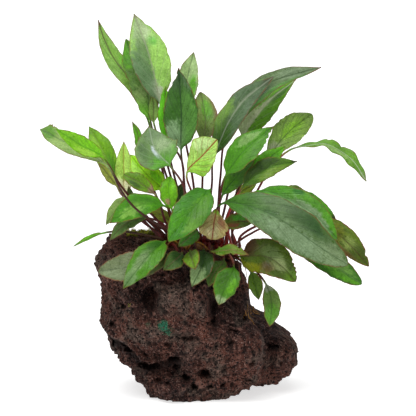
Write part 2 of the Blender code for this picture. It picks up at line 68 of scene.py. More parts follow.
# The leaf's measures, as in the part, and those of its fine form
STALK_START = 3.5  # mm
STALK_RADIUS = 0.85
NECK_RADIUS = 0.6
TIP_WIDTH = 0.35
BASE_FULLNESS = 0.85
CURVE_STEPS = 24
REACH = 0.5 * MM
STALK_RINGS = 20
BLADE_RINGS = 64
OPENING = 0.13  # share of the blade over which the round stalk opens into the plate
BLADE_THICK = 0.34  # mm
EDGE_THINNING = 0.45  # share of the thickness that is gone at the edge
ACROSS_HALF = (0.055, 0.13, 0.23, 0.36, 0.5, 0.64, 0.78, 0.9, 0.97, 1)
ACROSS = (*(-share for share in reversed(ACROSS_HALF)), 0, *ACROSS_HALF)
RIB_WIDTH = 0.5  # mm
RIB_GROOVE = 0.2  # mm deep on the upper side
RIB_RIDGE = 0.4  # mm high on the lower side
RIDGE_FADE = 0.7  # share of that ridge that is gone at the tip
SHEATH_RADIUS = 1.5  # mm that a stalk widens to at its foot
SHEATH_REACH = 0.16  # share of the stalk
VEINS = 6.0  # side veins on each half of a blade
VEIN_LAG = 2.4  # how many veins further on one meets the edge
VEIN_HEIGHT = 0.09  # mm
WOBBLE = 0.1  # how far the edge wanders, as a share of the half width
WOBBLES = 7  # about how many times along the blade
FINER = 3.3  # how much finer the second wobble is, at half the height
HALVES_APART = 3  # sets the two halves apart in the noise
BITE_GRAIN = 6  # how much finer than the wobble a bite's edge is
BITE_ROUGHNESS = 0.6
COCKLE = 0.9  # mm that the blade is cockled
COCKLES = (3.5, 1.3)  # along and across
SWELL = 0.05  # how far each half is rounded up, as a share of its width
WAVE_LAG = 0.27  # how far apart the waves of the two edges are
WAVE_STEEPNESS = 2.2  # how closely the waves keep to the edge
FULL_WAVE = 4  # mm of half width from which waves and veins have their full height
FULL_COCKLE = 6  # mm, the same for the cockles
STALK_END = (-0.12, 0.06)  # where the stalk's colour gives way to the blade's
STALK_FROM_EDGE = 9  # mm that keep the brown margin off the stalk


class Leaf(NamedTuple):
    """One leaf of the part: its foot, the places on its midline and its form."""

    name: str
    ring: int
    side: float
    stalk: list
    blade: list
    width: float
    face: tuple
    fold: float = 0.16
    widest: float = 0.45
    point: float = 0.85
    lean: float = 0


LEAVES = [
    # The tall group at the back
    Leaf("tall_far_left", 5, 54, [(-16, 112, 6), (-21, 140, 18)],
         [(-29, 168, 26), (-35, 187, 34), (-50, 207, 43), (-56.5, 220, 50), (-60, 231, 58)],
         12, (-0.1, -1, 0.4), 0.16, 0.5, 1.0),
    Leaf("tall_left", 6, 54, [(-11, 115, 2), (-20, 141, 12)],
         [(-28, 169, 19), (-30, 188, 24), (-36, 201, 29), (-43, 219, 40)],
         18, (-0.4, -1, 0.2), 0.3, 0.42, 0.7),
    Leaf("tall_hidden", 8, 54, [(-14, 130, 9), (-20, 150, 14)],
         [(-26, 168, 16), (-26, 177, 17), (-27, 186, 19)], 6, (0, -1, 0.1)),
    Leaf("tallest", 7, 54, [(-8, 122, 0), (-9, 145, 6), (-17, 158, 9)],
         [(-22, 179, 11), (-28, 206, 17), (-38, 234, 30)],
         23.5, (0.15, -1, 0.25), 0.14, 0.48, 1.0),
    Leaf("centre_behind_left", 8, 16, [(-12, 130, -1)],
         [(-18, 157, 5), (-19, 173, 7), (-19, 190, 10)], 9, (-0.2, -1, 0.1)),
    Leaf("centre", 9, 16, [(-6, 118, -10), (-8, 137, -9)],
         [(-9.5, 151, -8), (-9.5, 176, -5), (-11, 201, 4)],
         21, (-0.15, -1, 0.15), 0.12, 0.42, 0.9),
    Leaf("centre_behind_top", 9, 54, [(-2, 130, 6)],
         [(-9, 172, 17), (-6, 194, 24), (-2, 211, 35)], 14, (0.1, -1, 0.3)),
    Leaf("centre_behind_right", 10, 54, [(3, 125, 3)],
         [(4, 155, 11), (5, 171, 17), (2, 187, 26)], 15, (0.2, -1, 0.3), 0.16, 0.5, 0.7),
    Leaf("centre_yellow", 10, -22, [(1, 112, -20), (-3, 126, -19)],
         [(-6, 138, -18), (3, 148, -15), (12, 158, -12)],
         20.5, (0.1, -1, 0.5), 0.1, 0.45, 0.7, 0.17),
    # The fan at the upper right
    Leaf("upper_right_front", 11, 16, [(7, 112, -9), (9, 132, -6)],
         [(10, 147, -4), (25, 178, 2), (46, 196, 12)], 16, (-0.3, -1, 0.5)),
    Leaf("upper_right_long", 12, 54, [(12, 112, -1), (14, 135, 7)],
         [(18, 161, 14), (42, 191, 25), (75, 202, 38)], 15, (-0.2, -0.8, 0.8)),
    Leaf("upper_right_bright", 13, 54, [(15, 110, 0), (20, 132, 12)],
         [(27, 158, 24), (38.5, 177, 34), (60, 195, 50)],
         18, (0, -1, 0.5), 0.16, 0.38, 1.1),
    Leaf("right_upright", 13, -22, [(13, 110, -17), (14, 125, -16)],
         [(17, 136, -14), (29, 152, -12), (46, 166, -6)],
         17, (-0.2, -1, 0.4), 0.16, 0.45, 1.0),
    Leaf("right_small", 12, 16, [(12, 110, -8)],
         [(15, 124, -8), (24, 136, -6), (35, 149, -2)], 11, (0, -1, 0.3)),
    Leaf("right_blunt", 15, 54, [(19, 108, 2), (28, 127, 12)],
         [(41, 145, 20), (54, 161.5, 30), (69.5, 174, 44)],
         18, (0, -0.9, 0.6), 0.12, 0.55, 0.6),
    Leaf("right_drooping", 17, 16, [(21, 106, -6), (33, 122, 0), (45, 142, 9)],
         [(56, 152, 12), (69, 154.9, 16), (77, 155.4, 17), (85, 152, 16.5), (94, 145, 15),
          (102, 133, 12)], 10.5, (0, -0.45, 1), 0.16, 0.6),
    Leaf("right_narrow", 14, 16, [(18, 112, -7)],
         [(29, 135, -5), (43, 146.5, 0), (53, 154, 6)], 11, (0, -1, 0.4)),
    Leaf("right_dark", 15, -22, [(18, 110, -18)],
         [(27, 129, -14), (42.5, 141, -12), (60, 145, -6)],
         12.5, (0, -1, 0.5), 0.16, 0.45, 1.05),
    Leaf("right_yellow", 15, 16, [(20, 112, -5)],
         [(23, 124, 0), (29, 128, 3), (36, 132, 6)], 7, (0, -1, 0.5)),
    # The leaves that spread low to the right
    Leaf("biggest", 12, -22, [(10, 104, -20)],
         [(14, 119, -27), (32, 118, -38), (53, 108, -46), (72, 94.5, -48), (90, 83, -46)],
         26, (0, -1, 0.5), 0.12, 0.52, 0.6),
    Leaf("low_right_upper", 16, -22, [(19, 106, -22), (27, 118, -23)],
         [(36, 127, -24), (56, 121.5, -29), (71, 112, -32), (84, 98, -34)],
         18, (0, -1, 0.5), 0.14, 0.5, 0.7),
    Leaf("low_right_back", 16, 16, [(22, 105, -10), (38, 120, -8)],
         [(54, 126, -8), (71, 117, -9), (86, 104, -11)], 13, (0.1, -0.9, 0.6)),
    Leaf("low_right_olive", 18, 16, [(26, 100, -14), (40, 108, -15)],
         [(60, 114, -16), (78, 106, -17), (91, 95.5, -18), (103, 82, -20)],
         15, (0.1, -1, 0.4), 0.14, 0.55, 0.7),
    Leaf("low_right_under", 16, -60, [(21, 94, -24), (31, 101, -28)],
         [(43, 105, -30), (73, 88.5, -36), (98.5, 71.5, -37)],
         15, (0, -1, 0.5), 0.14, 0.6, 0.55),
    Leaf("low_right_tip", 14, 54, [(17, 103, -3), (34, 121, 1)],
         [(50, 126.5, 3), (59, 127.2, 5), (67.5, 124.5, 8)], 7, (0, -1, 0.6)),
    Leaf("under_biggest", 14, -22, [(13, 101, -20)],
         [(15, 106, -24), (24, 109, -29), (34, 109, -31)],
         10, (0, -1, 0.4), 0.14, 0.5, 0.7),
    Leaf("hanging_olive", 17, -60, [],
         [(25, 88, -24), (41, 88, -35), (51, 82, -39), (59, 73, -41)],
         22, (-0.1, -1, 0.4), 0.12, 0.42, 0.65),
    Leaf("hanging_dark", 18, -60, [],
         [(32, 79, -22), (35, 71, -24), (37, 62, -25)], 9, (0.2, -1, 0.2)),
    Leaf("hanging_lowest", 18, -22, [(33, 82, -14)],
         [(41, 72, -18), (44.7, 60, -25), (43.5, 46, -29)],
         11, (0.2, -1, 0.2), 0.16, 0.5, 0.75),
    # The leaves in front
    Leaf("front_pale", 15, -60, [],
         [(22, 82, -38), (17, 71, -44), (13, 59, -46)], 15, (0, -1, 0.3)),
    Leaf("front_behind_pale", 13, -60, [],
         [(16, 86, -34), (10, 78, -40), (7, 70, -42)], 11, (-0.3, -1, 0.3)),
    Leaf("front_dark", 10, -60, [],
         [(4, 92, -30), (3, 83, -41), (-3, 70, -46)], 14, (0, -1, 0.3)),
    Leaf("front_short", 7, -60, [],
         [(-4, 91, -38), (-3, 87, -45), (-1, 80.5, -50)], 11, (-0.3, -1, 0.4)),
    Leaf("front_broad", 9, -22, [(3, 108, -22), (6, 120, -28)],
         [(8, 128, -34), (-3, 115, -46), (-17, 97, -54)],
         21, (-0.1, -1, 0.5), 0.1, 0.45, 0.75),
    Leaf("under_broad", 8, -22, [],
         [(0, 103, -26), (-5, 99, -33), (-11, 94, -37)], 10, (0, -1, 0.5)),
    Leaf("front_underside", 11, -22, [(5, 105, -26)],
         [(11, 116, -31), (10, 107, -38), (9, 98, -40)],
         18, (0, -1, -0.3), 0.1, 0.65, 0.5),
    Leaf("front_arched", 11, -60, [],
         [(9, 91, -37), (21, 92, -43), (31, 89, -43)], 8, (0, -0.8, 0.8)),
    Leaf("on_stone", 2, -60, [],
         [(-13, 90, -37), (-35, 83, -45), (-59, 79, -40)],
         18, (0, -1, 0.5), 0.12, 0.55, 0.6),
    Leaf("over_stone", 0, -76, [],
         [(-19, 97, -36), (-30, 87, -51), (-44, 69, -55)], 16, (-0.2, -1, 0.4)),
    Leaf("front_left_dark", 4, -60, [],
         [(-9, 90, -38), (-13, 86, -44), (-20, 80, -48)], 11, (0, -1, 0.3)),
    # The left group
    Leaf("left_glossy", 7, -22, [(-5, 112, -20), (-8, 130, -20)],
         [(-16, 142, -20), (-25, 152, -14), (-29, 166, -3)],
         27, (0, -1, 0.8), 0.16, 0.36, 1.0),
    Leaf("left_bud", 4, 54, [(-26, 128, 5)],
         [(-35, 152, 12), (-35.5, 161, 14), (-39, 169, 17)], 5, (-0.3, -1, 0)),
    Leaf("left_bright", 5, -22, [(-16, 112, -16)],
         [(-20, 127, -14), (-31, 138, -9), (-40, 149, -4)],
         16, (-0.2, -1, 0.6), 0.16, 0.45, 0.9),
    Leaf("left_dark", 3, -22, [(-19, 109, -21), (-22, 119, -23)],
         [(-25, 125, -24), (-34, 132, -25), (-44, 137, -22)],
         10, (-0.2, -1, 0.6), 0.16, 0.55, 0.6),
    Leaf("left_yellow", 2, 54, [(-28, 108, -6)],
         [(-42, 121, -5), (-44, 140, 1), (-44, 157, 9)], 11, (0.2, -1, 0.3)),
    Leaf("left_tall_green", 0, 35, [(-34, 112, -2)],
         [(-46, 128, 2), (-57, 152, 8), (-65, 166, 16)],
         13.5, (-0.2, -1, 0.4), 0.16, 0.58, 0.95),
    Leaf("left_olive", 0, -3, [(-36, 112, -13)],
         [(-48, 130, -12), (-54, 138, -10), (-59, 144, -8)], 6, (-0.3, -1, 0.3)),
    Leaf("left_tiny", 3, 16, [(-26, 108, -12)],
         [(-39, 121, -12), (-40, 125, -12), (-41, 130, -11)], 4, (0, -1, 0.2)),
    Leaf("far_left_long", 1, -22,
         [(-17, 103, -30), (-28, 110, -35), (-38, 118, -36), (-45, 127, -34)],
         [(-53, 141.5, -28), (-67, 150.5, -20), (-82, 158, -14), (-94, 164, -10)],
         12, (0, -1, 0.5), 0.16, 0.6, 0.85),
    Leaf("far_left_bright", 1, 16, [(-32, 114, -16), (-46, 131, -20)],
         [(-56, 147, -26), (-70, 155, -32), (-84, 164, -35)], 11, (0, -1, 0.5)),
    Leaf("far_left_curled", 0, -40, [(-32, 101, -27), (-46, 103, -26)],
         [(-56, 102, -24), (-65, 98.3, -22), (-74, 94, -20)], 4, (0, -0.6, 1), 0.5),
    Leaf("low_left_bright", 4, -22, [(-14, 109, -22)],
         [(-19, 118, -25), (-36, 118, -31), (-52, 108, -31)],
         15, (0, -1, 0.5), 0.16, 0.5, 0.95),
    Leaf("low_left_pale", 2, 16, [(-26, 112, -19)],
         [(-39, 122, -23), (-47, 117, -23), (-54.5, 107, -23)], 10, (-0.6, -1, 0.5)),
    Leaf("low_left_narrow", 2, -22, [(-20, 107, -24)],
         [(-30, 111, -26), (-42, 108, -27), (-52, 98, -28)], 9, (0, -1, 0.6)),
    # The short leaves in the heart of the plant
    Leaf("heart_bright", 6, -22, [(-12, 108, -21)],
         [(-15, 116, -22), (-17, 127, -21), (-16, 136, -17)],
         11, (0, -1, 0.5), 0.16, 0.5, 0.65),
    Leaf("heart_dark", 6, 16, [(-11, 108, -12)],
         [(-11, 118, -12), (-11, 125, -11), (-9, 132, -11)], 7, (0, -1, 0.3)),
    Leaf("heart_yellow", 5, 16, [(-12, 104, -12)],
         [(-15, 108, -12), (-22, 113, -13), (-30, 117, -13)], 8, (0, -1, 0.5)),
]


class Look(NamedTuple):
    """How a leaf is coloured and rippled. Colours are as a screen shows them, 0 to 255."""

    main: tuple
    # Patches paint the leaf's own tone changes and also painted light: grey-green sheen, pale highlights
    # and dark shadows
    tone_and_light_patches: tuple = ()  # each: share along, side, reach along, reach across, colour
    rib: tuple = (105, 95, 70)
    rib_strength: float = 0.55
    veins: float = 0.35
    rim: float = 0.6
    stalk: tuple = (98, 42, 40)
    wave: float = 0.35  # mm
    waves: float = 2.5
    bites: tuple = ()  # each: share along, side, reach along, depth as a share of the half width


RED_STALK = (150, 55, 52)

# Many leaves' patches are painted light: grey-green painted sheen and pale painted highlights where the
# gloss catches the light, and dark painted shadows where a fold or another leaf shades the blade.
LOOKS = {
    "tall_far_left": Look((122, 172, 86), ((0.98, 0, 0.035, 1, (122, 112, 76)),
        (0.3, 0.7, 0.3, 0.6, (104, 182, 60)), (0.1, 0, 0.15, 1, (120, 170, 62))), rib=(92, 84, 66),
        rib_strength=0.8, wave=1.0, waves=3),
    # tall_left: the dark patch over the right half is painted shade
    "tall_left": Look((86, 124, 64), ((0.88, 0, 0.22, 1.5, (86, 150, 40)),
        (0.5, 0.5, 0.3, 0.5, (58, 84, 46)), (0.3, -0.5, 0.12, 0.45, (120, 150, 98)),
        (0.1, -0.6, 0.14, 0.6, (104, 176, 56))), rib=(70, 84, 60), bites=((0.55, -1, 0.03, 0.12),)),
    "tall_hidden": Look((140, 186, 104)),
    # tallest: the grey-green patch on the lower left half is painted sheen, the whitish patch at the base
    # a painted highlight
    "tallest": Look((144, 198, 106), ((0.28, -0.62, 0.38, 0.6, (94, 128, 92)),
        (0.62, -0.2, 0.16, 0.25, (112, 150, 98)), (0.08, 0.1, 0.12, 0.4, (196, 208, 186)),
        (0.66, 0.45, 0.045, 0.22, (92, 178, 52)), (0.84, 0.1, 0.14, 0.7, (176, 204, 160)),
        (0.98, 0, 0.03, 0.8, (118, 110, 72))), rib=(150, 158, 128), rib_strength=0.7,
        bites=((0.86, 1, 0.02, 0.16), (0.1, 1, 0.02, 0.3))),
    "centre_behind_left": Look((96, 188, 40)),
    "centre": Look((60, 100, 42), ((0.16, -0.5, 0.18, 0.6, (124, 158, 122)),
        (0.3, 0.55, 0.34, 0.45, (84, 136, 66)), (0.9, 0, 0.16, 1.4, (62, 92, 58)),
        (0.62, 0.3, 0.2, 0.3, (72, 112, 60))), rib=(44, 68, 38), rib_strength=0.8, veins=0.45,
        bites=((0.9, -1, 0.05, 0.5), (0.8, -1, 0.03, 0.2), (0.96, 1, 0.02, 0.4))),
    "centre_behind_top": Look((158, 194, 138), ((0.4, 0.5, 0.22, 0.4, (100, 176, 54)),),
        rib=(104, 124, 84)),
    "centre_behind_right": Look((126, 156, 92), ((0.65, 0.2, 0.2, 0.5, (104, 168, 66)),
        (0.15, 0, 0.2, 1, (100, 122, 74)), (0.5, 0.9, 0.3, 0.2, (128, 112, 84))), rib=(100, 100, 74),
        rim=0.9),
    "centre_yellow": Look((162, 216, 116), ((0.25, 0.5, 0.3, 0.6, (138, 204, 78)),
        (0.75, -0.5, 0.25, 0.45, (186, 226, 158))), rib=(150, 70, 50), rib_strength=0.95, veins=0.7,
        rim=0.7, stalk=(110, 44, 42)),
    # upper_right_front: the narrow grey patch along the middle is painted sheen
    "upper_right_front": Look((82, 108, 80), ((0.42, -0.7, 0.14, 0.4, (112, 156, 76)),
        (0.7, 0.0, 0.24, 0.14, (120, 138, 114)), (0.12, 0, 0.26, 1.2, (58, 90, 16)),
        (0.95, 0, 0.09, 1, (72, 88, 66))), rib=(142, 152, 132), rib_strength=0.6),
    # upper_right_long: the small dark patch near the middle is the painted shadow of the front leaf
    "upper_right_long": Look((98, 124, 88), ((0.55, 0.85, 0.35, 0.2, (74, 130, 52)),
        (0.82, -0.1, 0.22, 0.8, (128, 152, 124)), (0.42, 0.3, 0.12, 0.35, (46, 70, 30)),
        (0.3, -0.7, 0.2, 0.3, (104, 158, 76))), rib=(70, 92, 60), rib_strength=0.7, veins=0.6, rim=0.8),
    "upper_right_bright": Look((96, 160, 40), ((0.2, -0.5, 0.24, 0.6, (154, 176, 138)),
        (0.35, 0, 0.3, 0.12, (196, 208, 178)), (0.75, 0.2, 0.2, 0.4, (70, 118, 30))), rib=(176, 190, 152),
        rib_strength=0.7, rim=0.7),
    # right_upright: the pale patch on the upper half is painted sheen
    "right_upright": Look((80, 144, 42), ((0.62, -0.5, 0.2, 0.3, (128, 172, 108)),
        (0.6, 0.5, 0.3, 0.4, (86, 140, 62))), rib=(66, 108, 44), rib_strength=0.5,
        bites=((0.88, 1, 0.02, 0.45), (0.94, 1, 0.015, 0.5), (0.8, 1, 0.015, 0.25),
        (0.72, 1, 0.012, 0.16))),
    "right_small": Look((86, 134, 70), ((0.2, 0, 0.25, 1, (82, 144, 48)),), rib=(66, 104, 60)),
    "right_blunt": Look((126, 168, 84), ((0.6, 0, 0.2, 0.45, (128, 188, 62)),
        (0.15, 0.2, 0.16, 1, (160, 172, 146)), (0.9, 0, 0.12, 1, (120, 156, 84))), rib=(72, 96, 52),
        veins=0.85, rim=0.45),
    "right_drooping": Look((98, 154, 50), ((0.08, 0, 0.12, 1, (80, 142, 44)),
        (0.5, 0.5, 0.24, 0.35, (138, 182, 110)), (0.95, 0, 0.08, 1, (110, 150, 84))), rib=(204, 218, 186),
        rib_strength=0.5, stalk=RED_STALK, wave=0.9, waves=4, bites=((0.3, -1, 0.02, 0.2),
        (0.42, -1, 0.02, 0.2), (0.55, -1, 0.02, 0.22))),
    "right_narrow": Look((100, 182, 32), ((0.2, 0, 0.25, 1, (88, 170, 32)),), rib=(80, 132, 42)),
    "right_dark": Look((86, 132, 46), ((0.4, -0.5, 0.4, 0.5, (62, 88, 40)),
        (0.55, 0.6, 0.3, 0.35, (112, 150, 66)), (0.97, 0, 0.05, 1, (60, 76, 48))), rib=(64, 88, 44),
        rim=0.5, stalk=RED_STALK),
    "right_yellow": Look((168, 204, 80)),
    # biggest: the grey-green patches on the lower half and at the tip are painted sheen
    "biggest": Look((80, 110, 66), ((0.12, 0, 0.2, 1.2, (68, 120, 34)),
        (0.4, -0.5, 0.2, 0.45, (98, 124, 90)), (0.68, 0.4, 0.3, 0.5, (118, 144, 114)),
        (0.6, -0.6, 0.18, 0.3, (46, 78, 32)), (0.38, -0.1, 0.05, 0.12, (40, 84, 24)),
        (0.9, 0, 0.1, 0.8, (122, 146, 112))), rib=(66, 94, 56), veins=0.4,
        stalk=(86, 34, 34)),
    # low_right_upper: the pale grey-green patch in the middle is painted sheen
    "low_right_upper": Look((86, 150, 54), ((0.1, -0.3, 0.18, 1.2, (84, 162, 44)),
        (0.62, 0.1, 0.26, 0.5, (132, 164, 128)), (0.4, -0.8, 0.06, 0.2, (50, 110, 30))), rib=(98, 138, 84),
        rib_strength=0.6, stalk=RED_STALK),
    # low_right_back: the dark patch over the tip is a painted shadow
    "low_right_back": Look((78, 152, 34), ((0.9, 0, 0.2, 1.4, (40, 54, 34)),)),
    "low_right_olive": Look((90, 116, 40), ((0.47, 0, 0.1, 0.7, (108, 122, 34)),
        (0.85, 0, 0.12, 1, (76, 96, 24)), (0.66, 0, 0.07, 0.5, (140, 166, 98)),
        (0.62, 0.85, 0.2, 0.25, (104, 72, 44)), (0.25, 0, 0.15, 1, (86, 120, 40))), rib=(88, 76, 54),
        rim=1.0, stalk=(110, 48, 40), bites=((0.88, -1, 0.02, 0.35),)),
    "low_right_under": Look((62, 110, 26), ((0.72, -0.3, 0.18, 0.5, (100, 146, 74)),
        (0.85, 0.5, 0.2, 0.3, (86, 150, 46))), rib=(96, 140, 74), rim=0.7),
    "low_right_tip": Look((108, 146, 66)),
    "under_biggest": Look((80, 104, 44), ((0.6, -0.4, 0.2, 0.4, (68, 136, 34)),
        (0.4, 0.4, 0.2, 0.3, (96, 66, 46))), rib=(98, 66, 48), rim=1.0, stalk=RED_STALK),
    # hanging_olive: the pale grey-green patches in the middle and towards the tip are painted sheen
    "hanging_olive": Look((78, 102, 36), ((0.15, -0.6, 0.18, 0.6, (74, 60, 42)),
        (0.5, -0.3, 0.16, 0.35, (98, 124, 76)), (0.7, 0.05, 0.1, 0.35, (146, 166, 118)),
        (0.2, 0.75, 0.25, 0.3, (118, 132, 40)), (0.92, 0, 0.09, 1, (96, 136, 50)),
        (0.55, 0.55, 0.12, 0.3, (82, 72, 52))), rib=(76, 66, 44), rib_strength=0.5, rim=1.0, wave=0.5,
        bites=((0.78, -1, 0.012, 0.16), (0.83, -1, 0.012, 0.2), (0.88, -1, 0.012, 0.24),
        (0.93, -1, 0.012, 0.3))),
    "hanging_dark": Look((82, 114, 44), rib=(66, 88, 40), rim=0.8),
    "hanging_lowest": Look((112, 148, 84), ((0.75, 0, 0.25, 1, (92, 148, 60)),
        (0.1, 0, 0.12, 1, (154, 168, 146))), rib=(78, 104, 60), rim=0.8, wave=0.7),
    # front_pale: the pale patch at the tip is a painted highlight
    "front_pale": Look((72, 124, 24), ((0.9, 0, 0.1, 1.4, (152, 178, 138)),
        (0.45, 0.4, 0.25, 0.35, (66, 108, 28)), (0.5, -0.5, 0.25, 0.3, (92, 154, 40))), rib=(66, 100, 34),
        rim=0.7, stalk=(150, 90, 80)),
    "front_behind_pale": Look((72, 106, 48), rim=0.7),
    # front_dark: the pale patch towards the tip is a painted highlight
    "front_dark": Look((56, 84, 30), ((0.78, 0.1, 0.24, 0.9, (124, 154, 110)),), rib=(50, 74, 36),
        rim=0.7),
    "front_short": Look((108, 154, 46), ((0.3, -0.3, 0.3, 0.5, (112, 146, 80)),), rim=0.8),
    "front_broad": Look((66, 128, 20), ((0.35, -0.3, 0.25, 0.5, (80, 136, 38)),
        (0.75, 0.4, 0.2, 0.4, (74, 138, 30)), (0.6, -0.6, 0.2, 0.3, (96, 144, 66))), rib=(66, 122, 34),
        rib_strength=0.5, veins=0.2),
    "under_broad": Look((62, 116, 30)),
    "front_underside": Look((160, 156, 108), ((0.1, 0, 0.12, 1.4, (112, 184, 46)),
        (0.8, 0, 0.2, 0.5, (170, 170, 130)), (0.45, -0.6, 0.2, 0.3, (128, 96, 66))), rib=(124, 52, 46),
        rib_strength=0.9, veins=0.8, rim=0.7, bites=((0.92, 1, 0.05, 0.3), (0.75, -1, 0.04, 0.15))),
    "front_arched": Look((106, 138, 60), ((0.25, 0, 0.24, 1, (86, 136, 34)),), rib=(150, 120, 90), rim=1.0,
        wave=0.9, waves=4, bites=((0.3, -1, 0.05, 0.45), (0.55, 1, 0.05, 0.4), (0.14, 1, 0.04, 0.5),
        (0.72, -1, 0.03, 0.4))),
    "on_stone": Look((112, 128, 98), ((0.25, 0, 0.24, 1, (84, 100, 58)),
        (0.7, -0.3, 0.3, 0.5, (124, 142, 112))), rib=(92, 104, 78), rim=0.8, veins=0.25),
    # over_stone: the pale patches in the middle and at the tip are painted highlights
    "over_stone": Look((80, 136, 46), ((0.55, 0.2, 0.18, 0.35, (120, 152, 108)),
        (0.85, 0, 0.12, 1, (112, 148, 102)), (0.2, 0.4, 0.15, 0.4, (60, 106, 34))), rib=(66, 108, 44),
        rim=0.7),
    "front_left_dark": Look((74, 108, 56), ((0.3, 0, 0.2, 1, (54, 88, 36)),)),
    # left_glossy: the thin near-white streak is a painted highlight and the pale patch beside it painted
    # sheen
    "left_glossy": Look((104, 140, 88), ((0.15, 0, 0.16, 1, (88, 156, 52)),
        (0.4, -0.1, 0.14, 0.06, (206, 220, 240)), (0.8, 0.2, 0.18, 0.7, (118, 150, 112)),
        (0.45, 0.4, 0.22, 0.35, (142, 170, 130)), (0.5, -0.6, 0.15, 0.25, (78, 112, 66))),
        rib=(156, 172, 146), rib_strength=0.7, veins=0.45),
    "left_bud": Look((92, 170, 40)),
    # left_bright: its very bright yellow-green is partly its own colour and partly painted light shining
    # through it, and the whitish patch is painted sheen
    "left_bright": Look((176, 250, 66), ((0.7, -0.5, 0.2, 0.4, (178, 244, 112)),
        (0.3, 0.4, 0.2, 0.3, (124, 214, 36))), rib=(92, 168, 44), rib_strength=0.5),
    "left_dark": Look((98, 146, 44), ((0.12, 0, 0.13, 1.2, (160, 140, 120)),
        (0.6, -0.5, 0.2, 0.3, (70, 104, 40))), rim=0.8),
    "left_yellow": Look((172, 224, 112), ((0.12, 0, 0.28, 1.4, (232, 238, 200)),), rib=(166, 130, 70)),
    "left_tall_green": Look((112, 172, 42), ((0.35, 0.3, 0.2, 0.4, (84, 144, 34)),
        (0.65, -0.4, 0.2, 0.4, (136, 192, 66))), rib=(120, 150, 70), veins=0.5),
    "left_olive": Look((136, 156, 74)),
    "left_tiny": Look((60, 94, 40)),
    "far_left_long": Look((144, 180, 112), ((0.3, 0, 0.24, 0.5, (180, 204, 154)),
        (0.9, 0, 0.1, 1, (110, 164, 80))), rib=(104, 132, 88), stalk=(76, 44, 36),
        bites=((0.92, 1, 0.08, -1.1), (0.9, -1, 0.06, -0.3), (0.7, 1, 0.02, 0.15))),
    "far_left_bright": Look((116, 192, 44), ((0.8, 0, 0.22, 1, (120, 190, 56)),
        (0.35, -0.5, 0.2, 0.4, (150, 206, 84))), rib=(84, 150, 38)),
    "far_left_curled": Look((104, 182, 52), stalk=(76, 56, 38)),
    "low_left_bright": Look((80, 146, 32), ((0.6, -0.2, 0.22, 0.45, (130, 186, 92)),
        (0.35, 0.4, 0.2, 0.3, (70, 130, 32))), rib=(74, 136, 38), rim=0.7),
    "low_left_pale": Look((130, 166, 98)),
    "low_left_narrow": Look((90, 124, 72), wave=0.7, waves=3),
    "heart_bright": Look((108, 182, 44), ((0.25, -0.3, 0.1, 0.4, (164, 144, 116)),), rib=(96, 150, 50)),
    "heart_dark": Look((50, 82, 30)),
    "heart_yellow": Look((142, 162, 72)),
}

GLOSS_HAZE = 0.022  # light that a glossy surface adds to its colour in the white room
LEAST = 0.25  # share of a colour that stays when that light is taken off
WARMTH = np.array((1.24, 1.1, 0.8))  # light through a leaf comes out yellower
DARKER = (0.5, 0.55, 0.42, 1)
PALER = (1.55, 1.45, 1.6, 1)


def seen(across, up, depth):
    """The point of the model that looks to be at these millimetres from the front."""
    rise = (depth - FRONT_FOOT_DEPTH) * math.sin(VIEW_TILT)
    return Vector((across, depth, (up - rise) / math.cos(VIEW_TILT))) * MM


def level(up, depth):
    """The height in mm of a point at this depth that looks to be this high from the front."""
    return seen(0, up, depth).z / MM


def linear(colour):
    """A screen colour, 0 to 255, as the shader takes it, less the gloss that will lie on it."""
    shares = [c / 255 for c in colour]
    lit = [s / 12.92 if s <= 0.04045 else ((s + 0.055) / 1.055) ** 2.4 for s in shares]
    return [max(value - GLOSS_HAZE, LEAST * value) for value in lit]


def rgba(colour):
    return (*linear(colour), 1)


def warmed(colour):
    """The colour with light coming through: the greener the leaf, the more it turns yellow."""
    lit = np.array(linear(colour))
    strong = 1 - lit.min() / lit.max()
    return lit * (1 + (WARMTH - 1) * strong)


def step_between(value, low, high):
    share = min(max((value - low) / (high - low), 0), 1)
    return share * share * (3 - 2 * share)


def bell(distance, radius):
    return math.exp(-((distance / radius) ** 2))


def squared_to(way, forward):
    """The part of a direction that is square to the way forward."""
    return (way - forward * way.dot(forward)).normalized()


def smooth_path(places, steps):
    """Points along a smooth curve through the places, with the places among them."""
    points = []
    last = len(places) - 1
    for i in range(last):
        here = places[i]
        after = places[i + 1]
        span = (after - here).length / 3
        leave = (after - places[max(i - 1, 0)]).normalized() * span
        arrive = (places[min(i + 2, last)] - here).normalized() * span
        points += interpolate_bezier(here, here + leave, after - arrive, after, steps)[:-1]
    return points + [places[-1]]


def along(points, distances):
    """The point and the direction at each distance along a polyline."""
    corners = np.array([tuple(p) for p in points])
    lengths = np.linalg.norm(np.diff(corners, axis=0), axis=1)
    reached = np.concatenate([[0], np.cumsum(lengths)])
    places = []
    for distance in distances:
        here, ahead, behind = (
            Vector([np.interp(d, reached, corners[:, k]) for k in range(3)])
            for d in (distance, distance + REACH, distance - REACH)
        )
        places.append((here, (ahead - behind).normalized()))
    return places


def length_of(points):
    return sum((b - a).length for a, b in zip(points, points[1:]))


LINE = smooth_path([Vector(place) * MM for place in RHIZOME_PATH], RHIZOME_STEPS)


def foot_of(leaf):
    """Where the leaf's stalk leaves the rhizome, and which way."""
    share = (leaf.ring + 0.5) / RHIZOME_RINGS
    point, forward = along(LINE, [length_of(LINE) * share])[0]
    outward = Matrix.Rotation(math.radians(-leaf.side), 3, forward) @ squared_to(UP, forward)
    return point + outward * (RHIZOME_RADIUS * MM + GAP), outward


def midline(leaf):
    """The leaf's midline in two runs of points: its stalk and its blade."""
    foot, outward = foot_of(leaf)
    stalk = [foot, foot + outward * STALK_START * MM] + [seen(*place) for place in leaf.stalk]
    blade = [seen(*place) for place in leaf.blade]
    points = smooth_path(stalk + blade, CURVE_STEPS)
    start_of_blade = len(points) - 1 - (len(blade) - 1) * (CURVE_STEPS - 1)
    return points[: start_of_blade + 1], points[start_of_blade:]


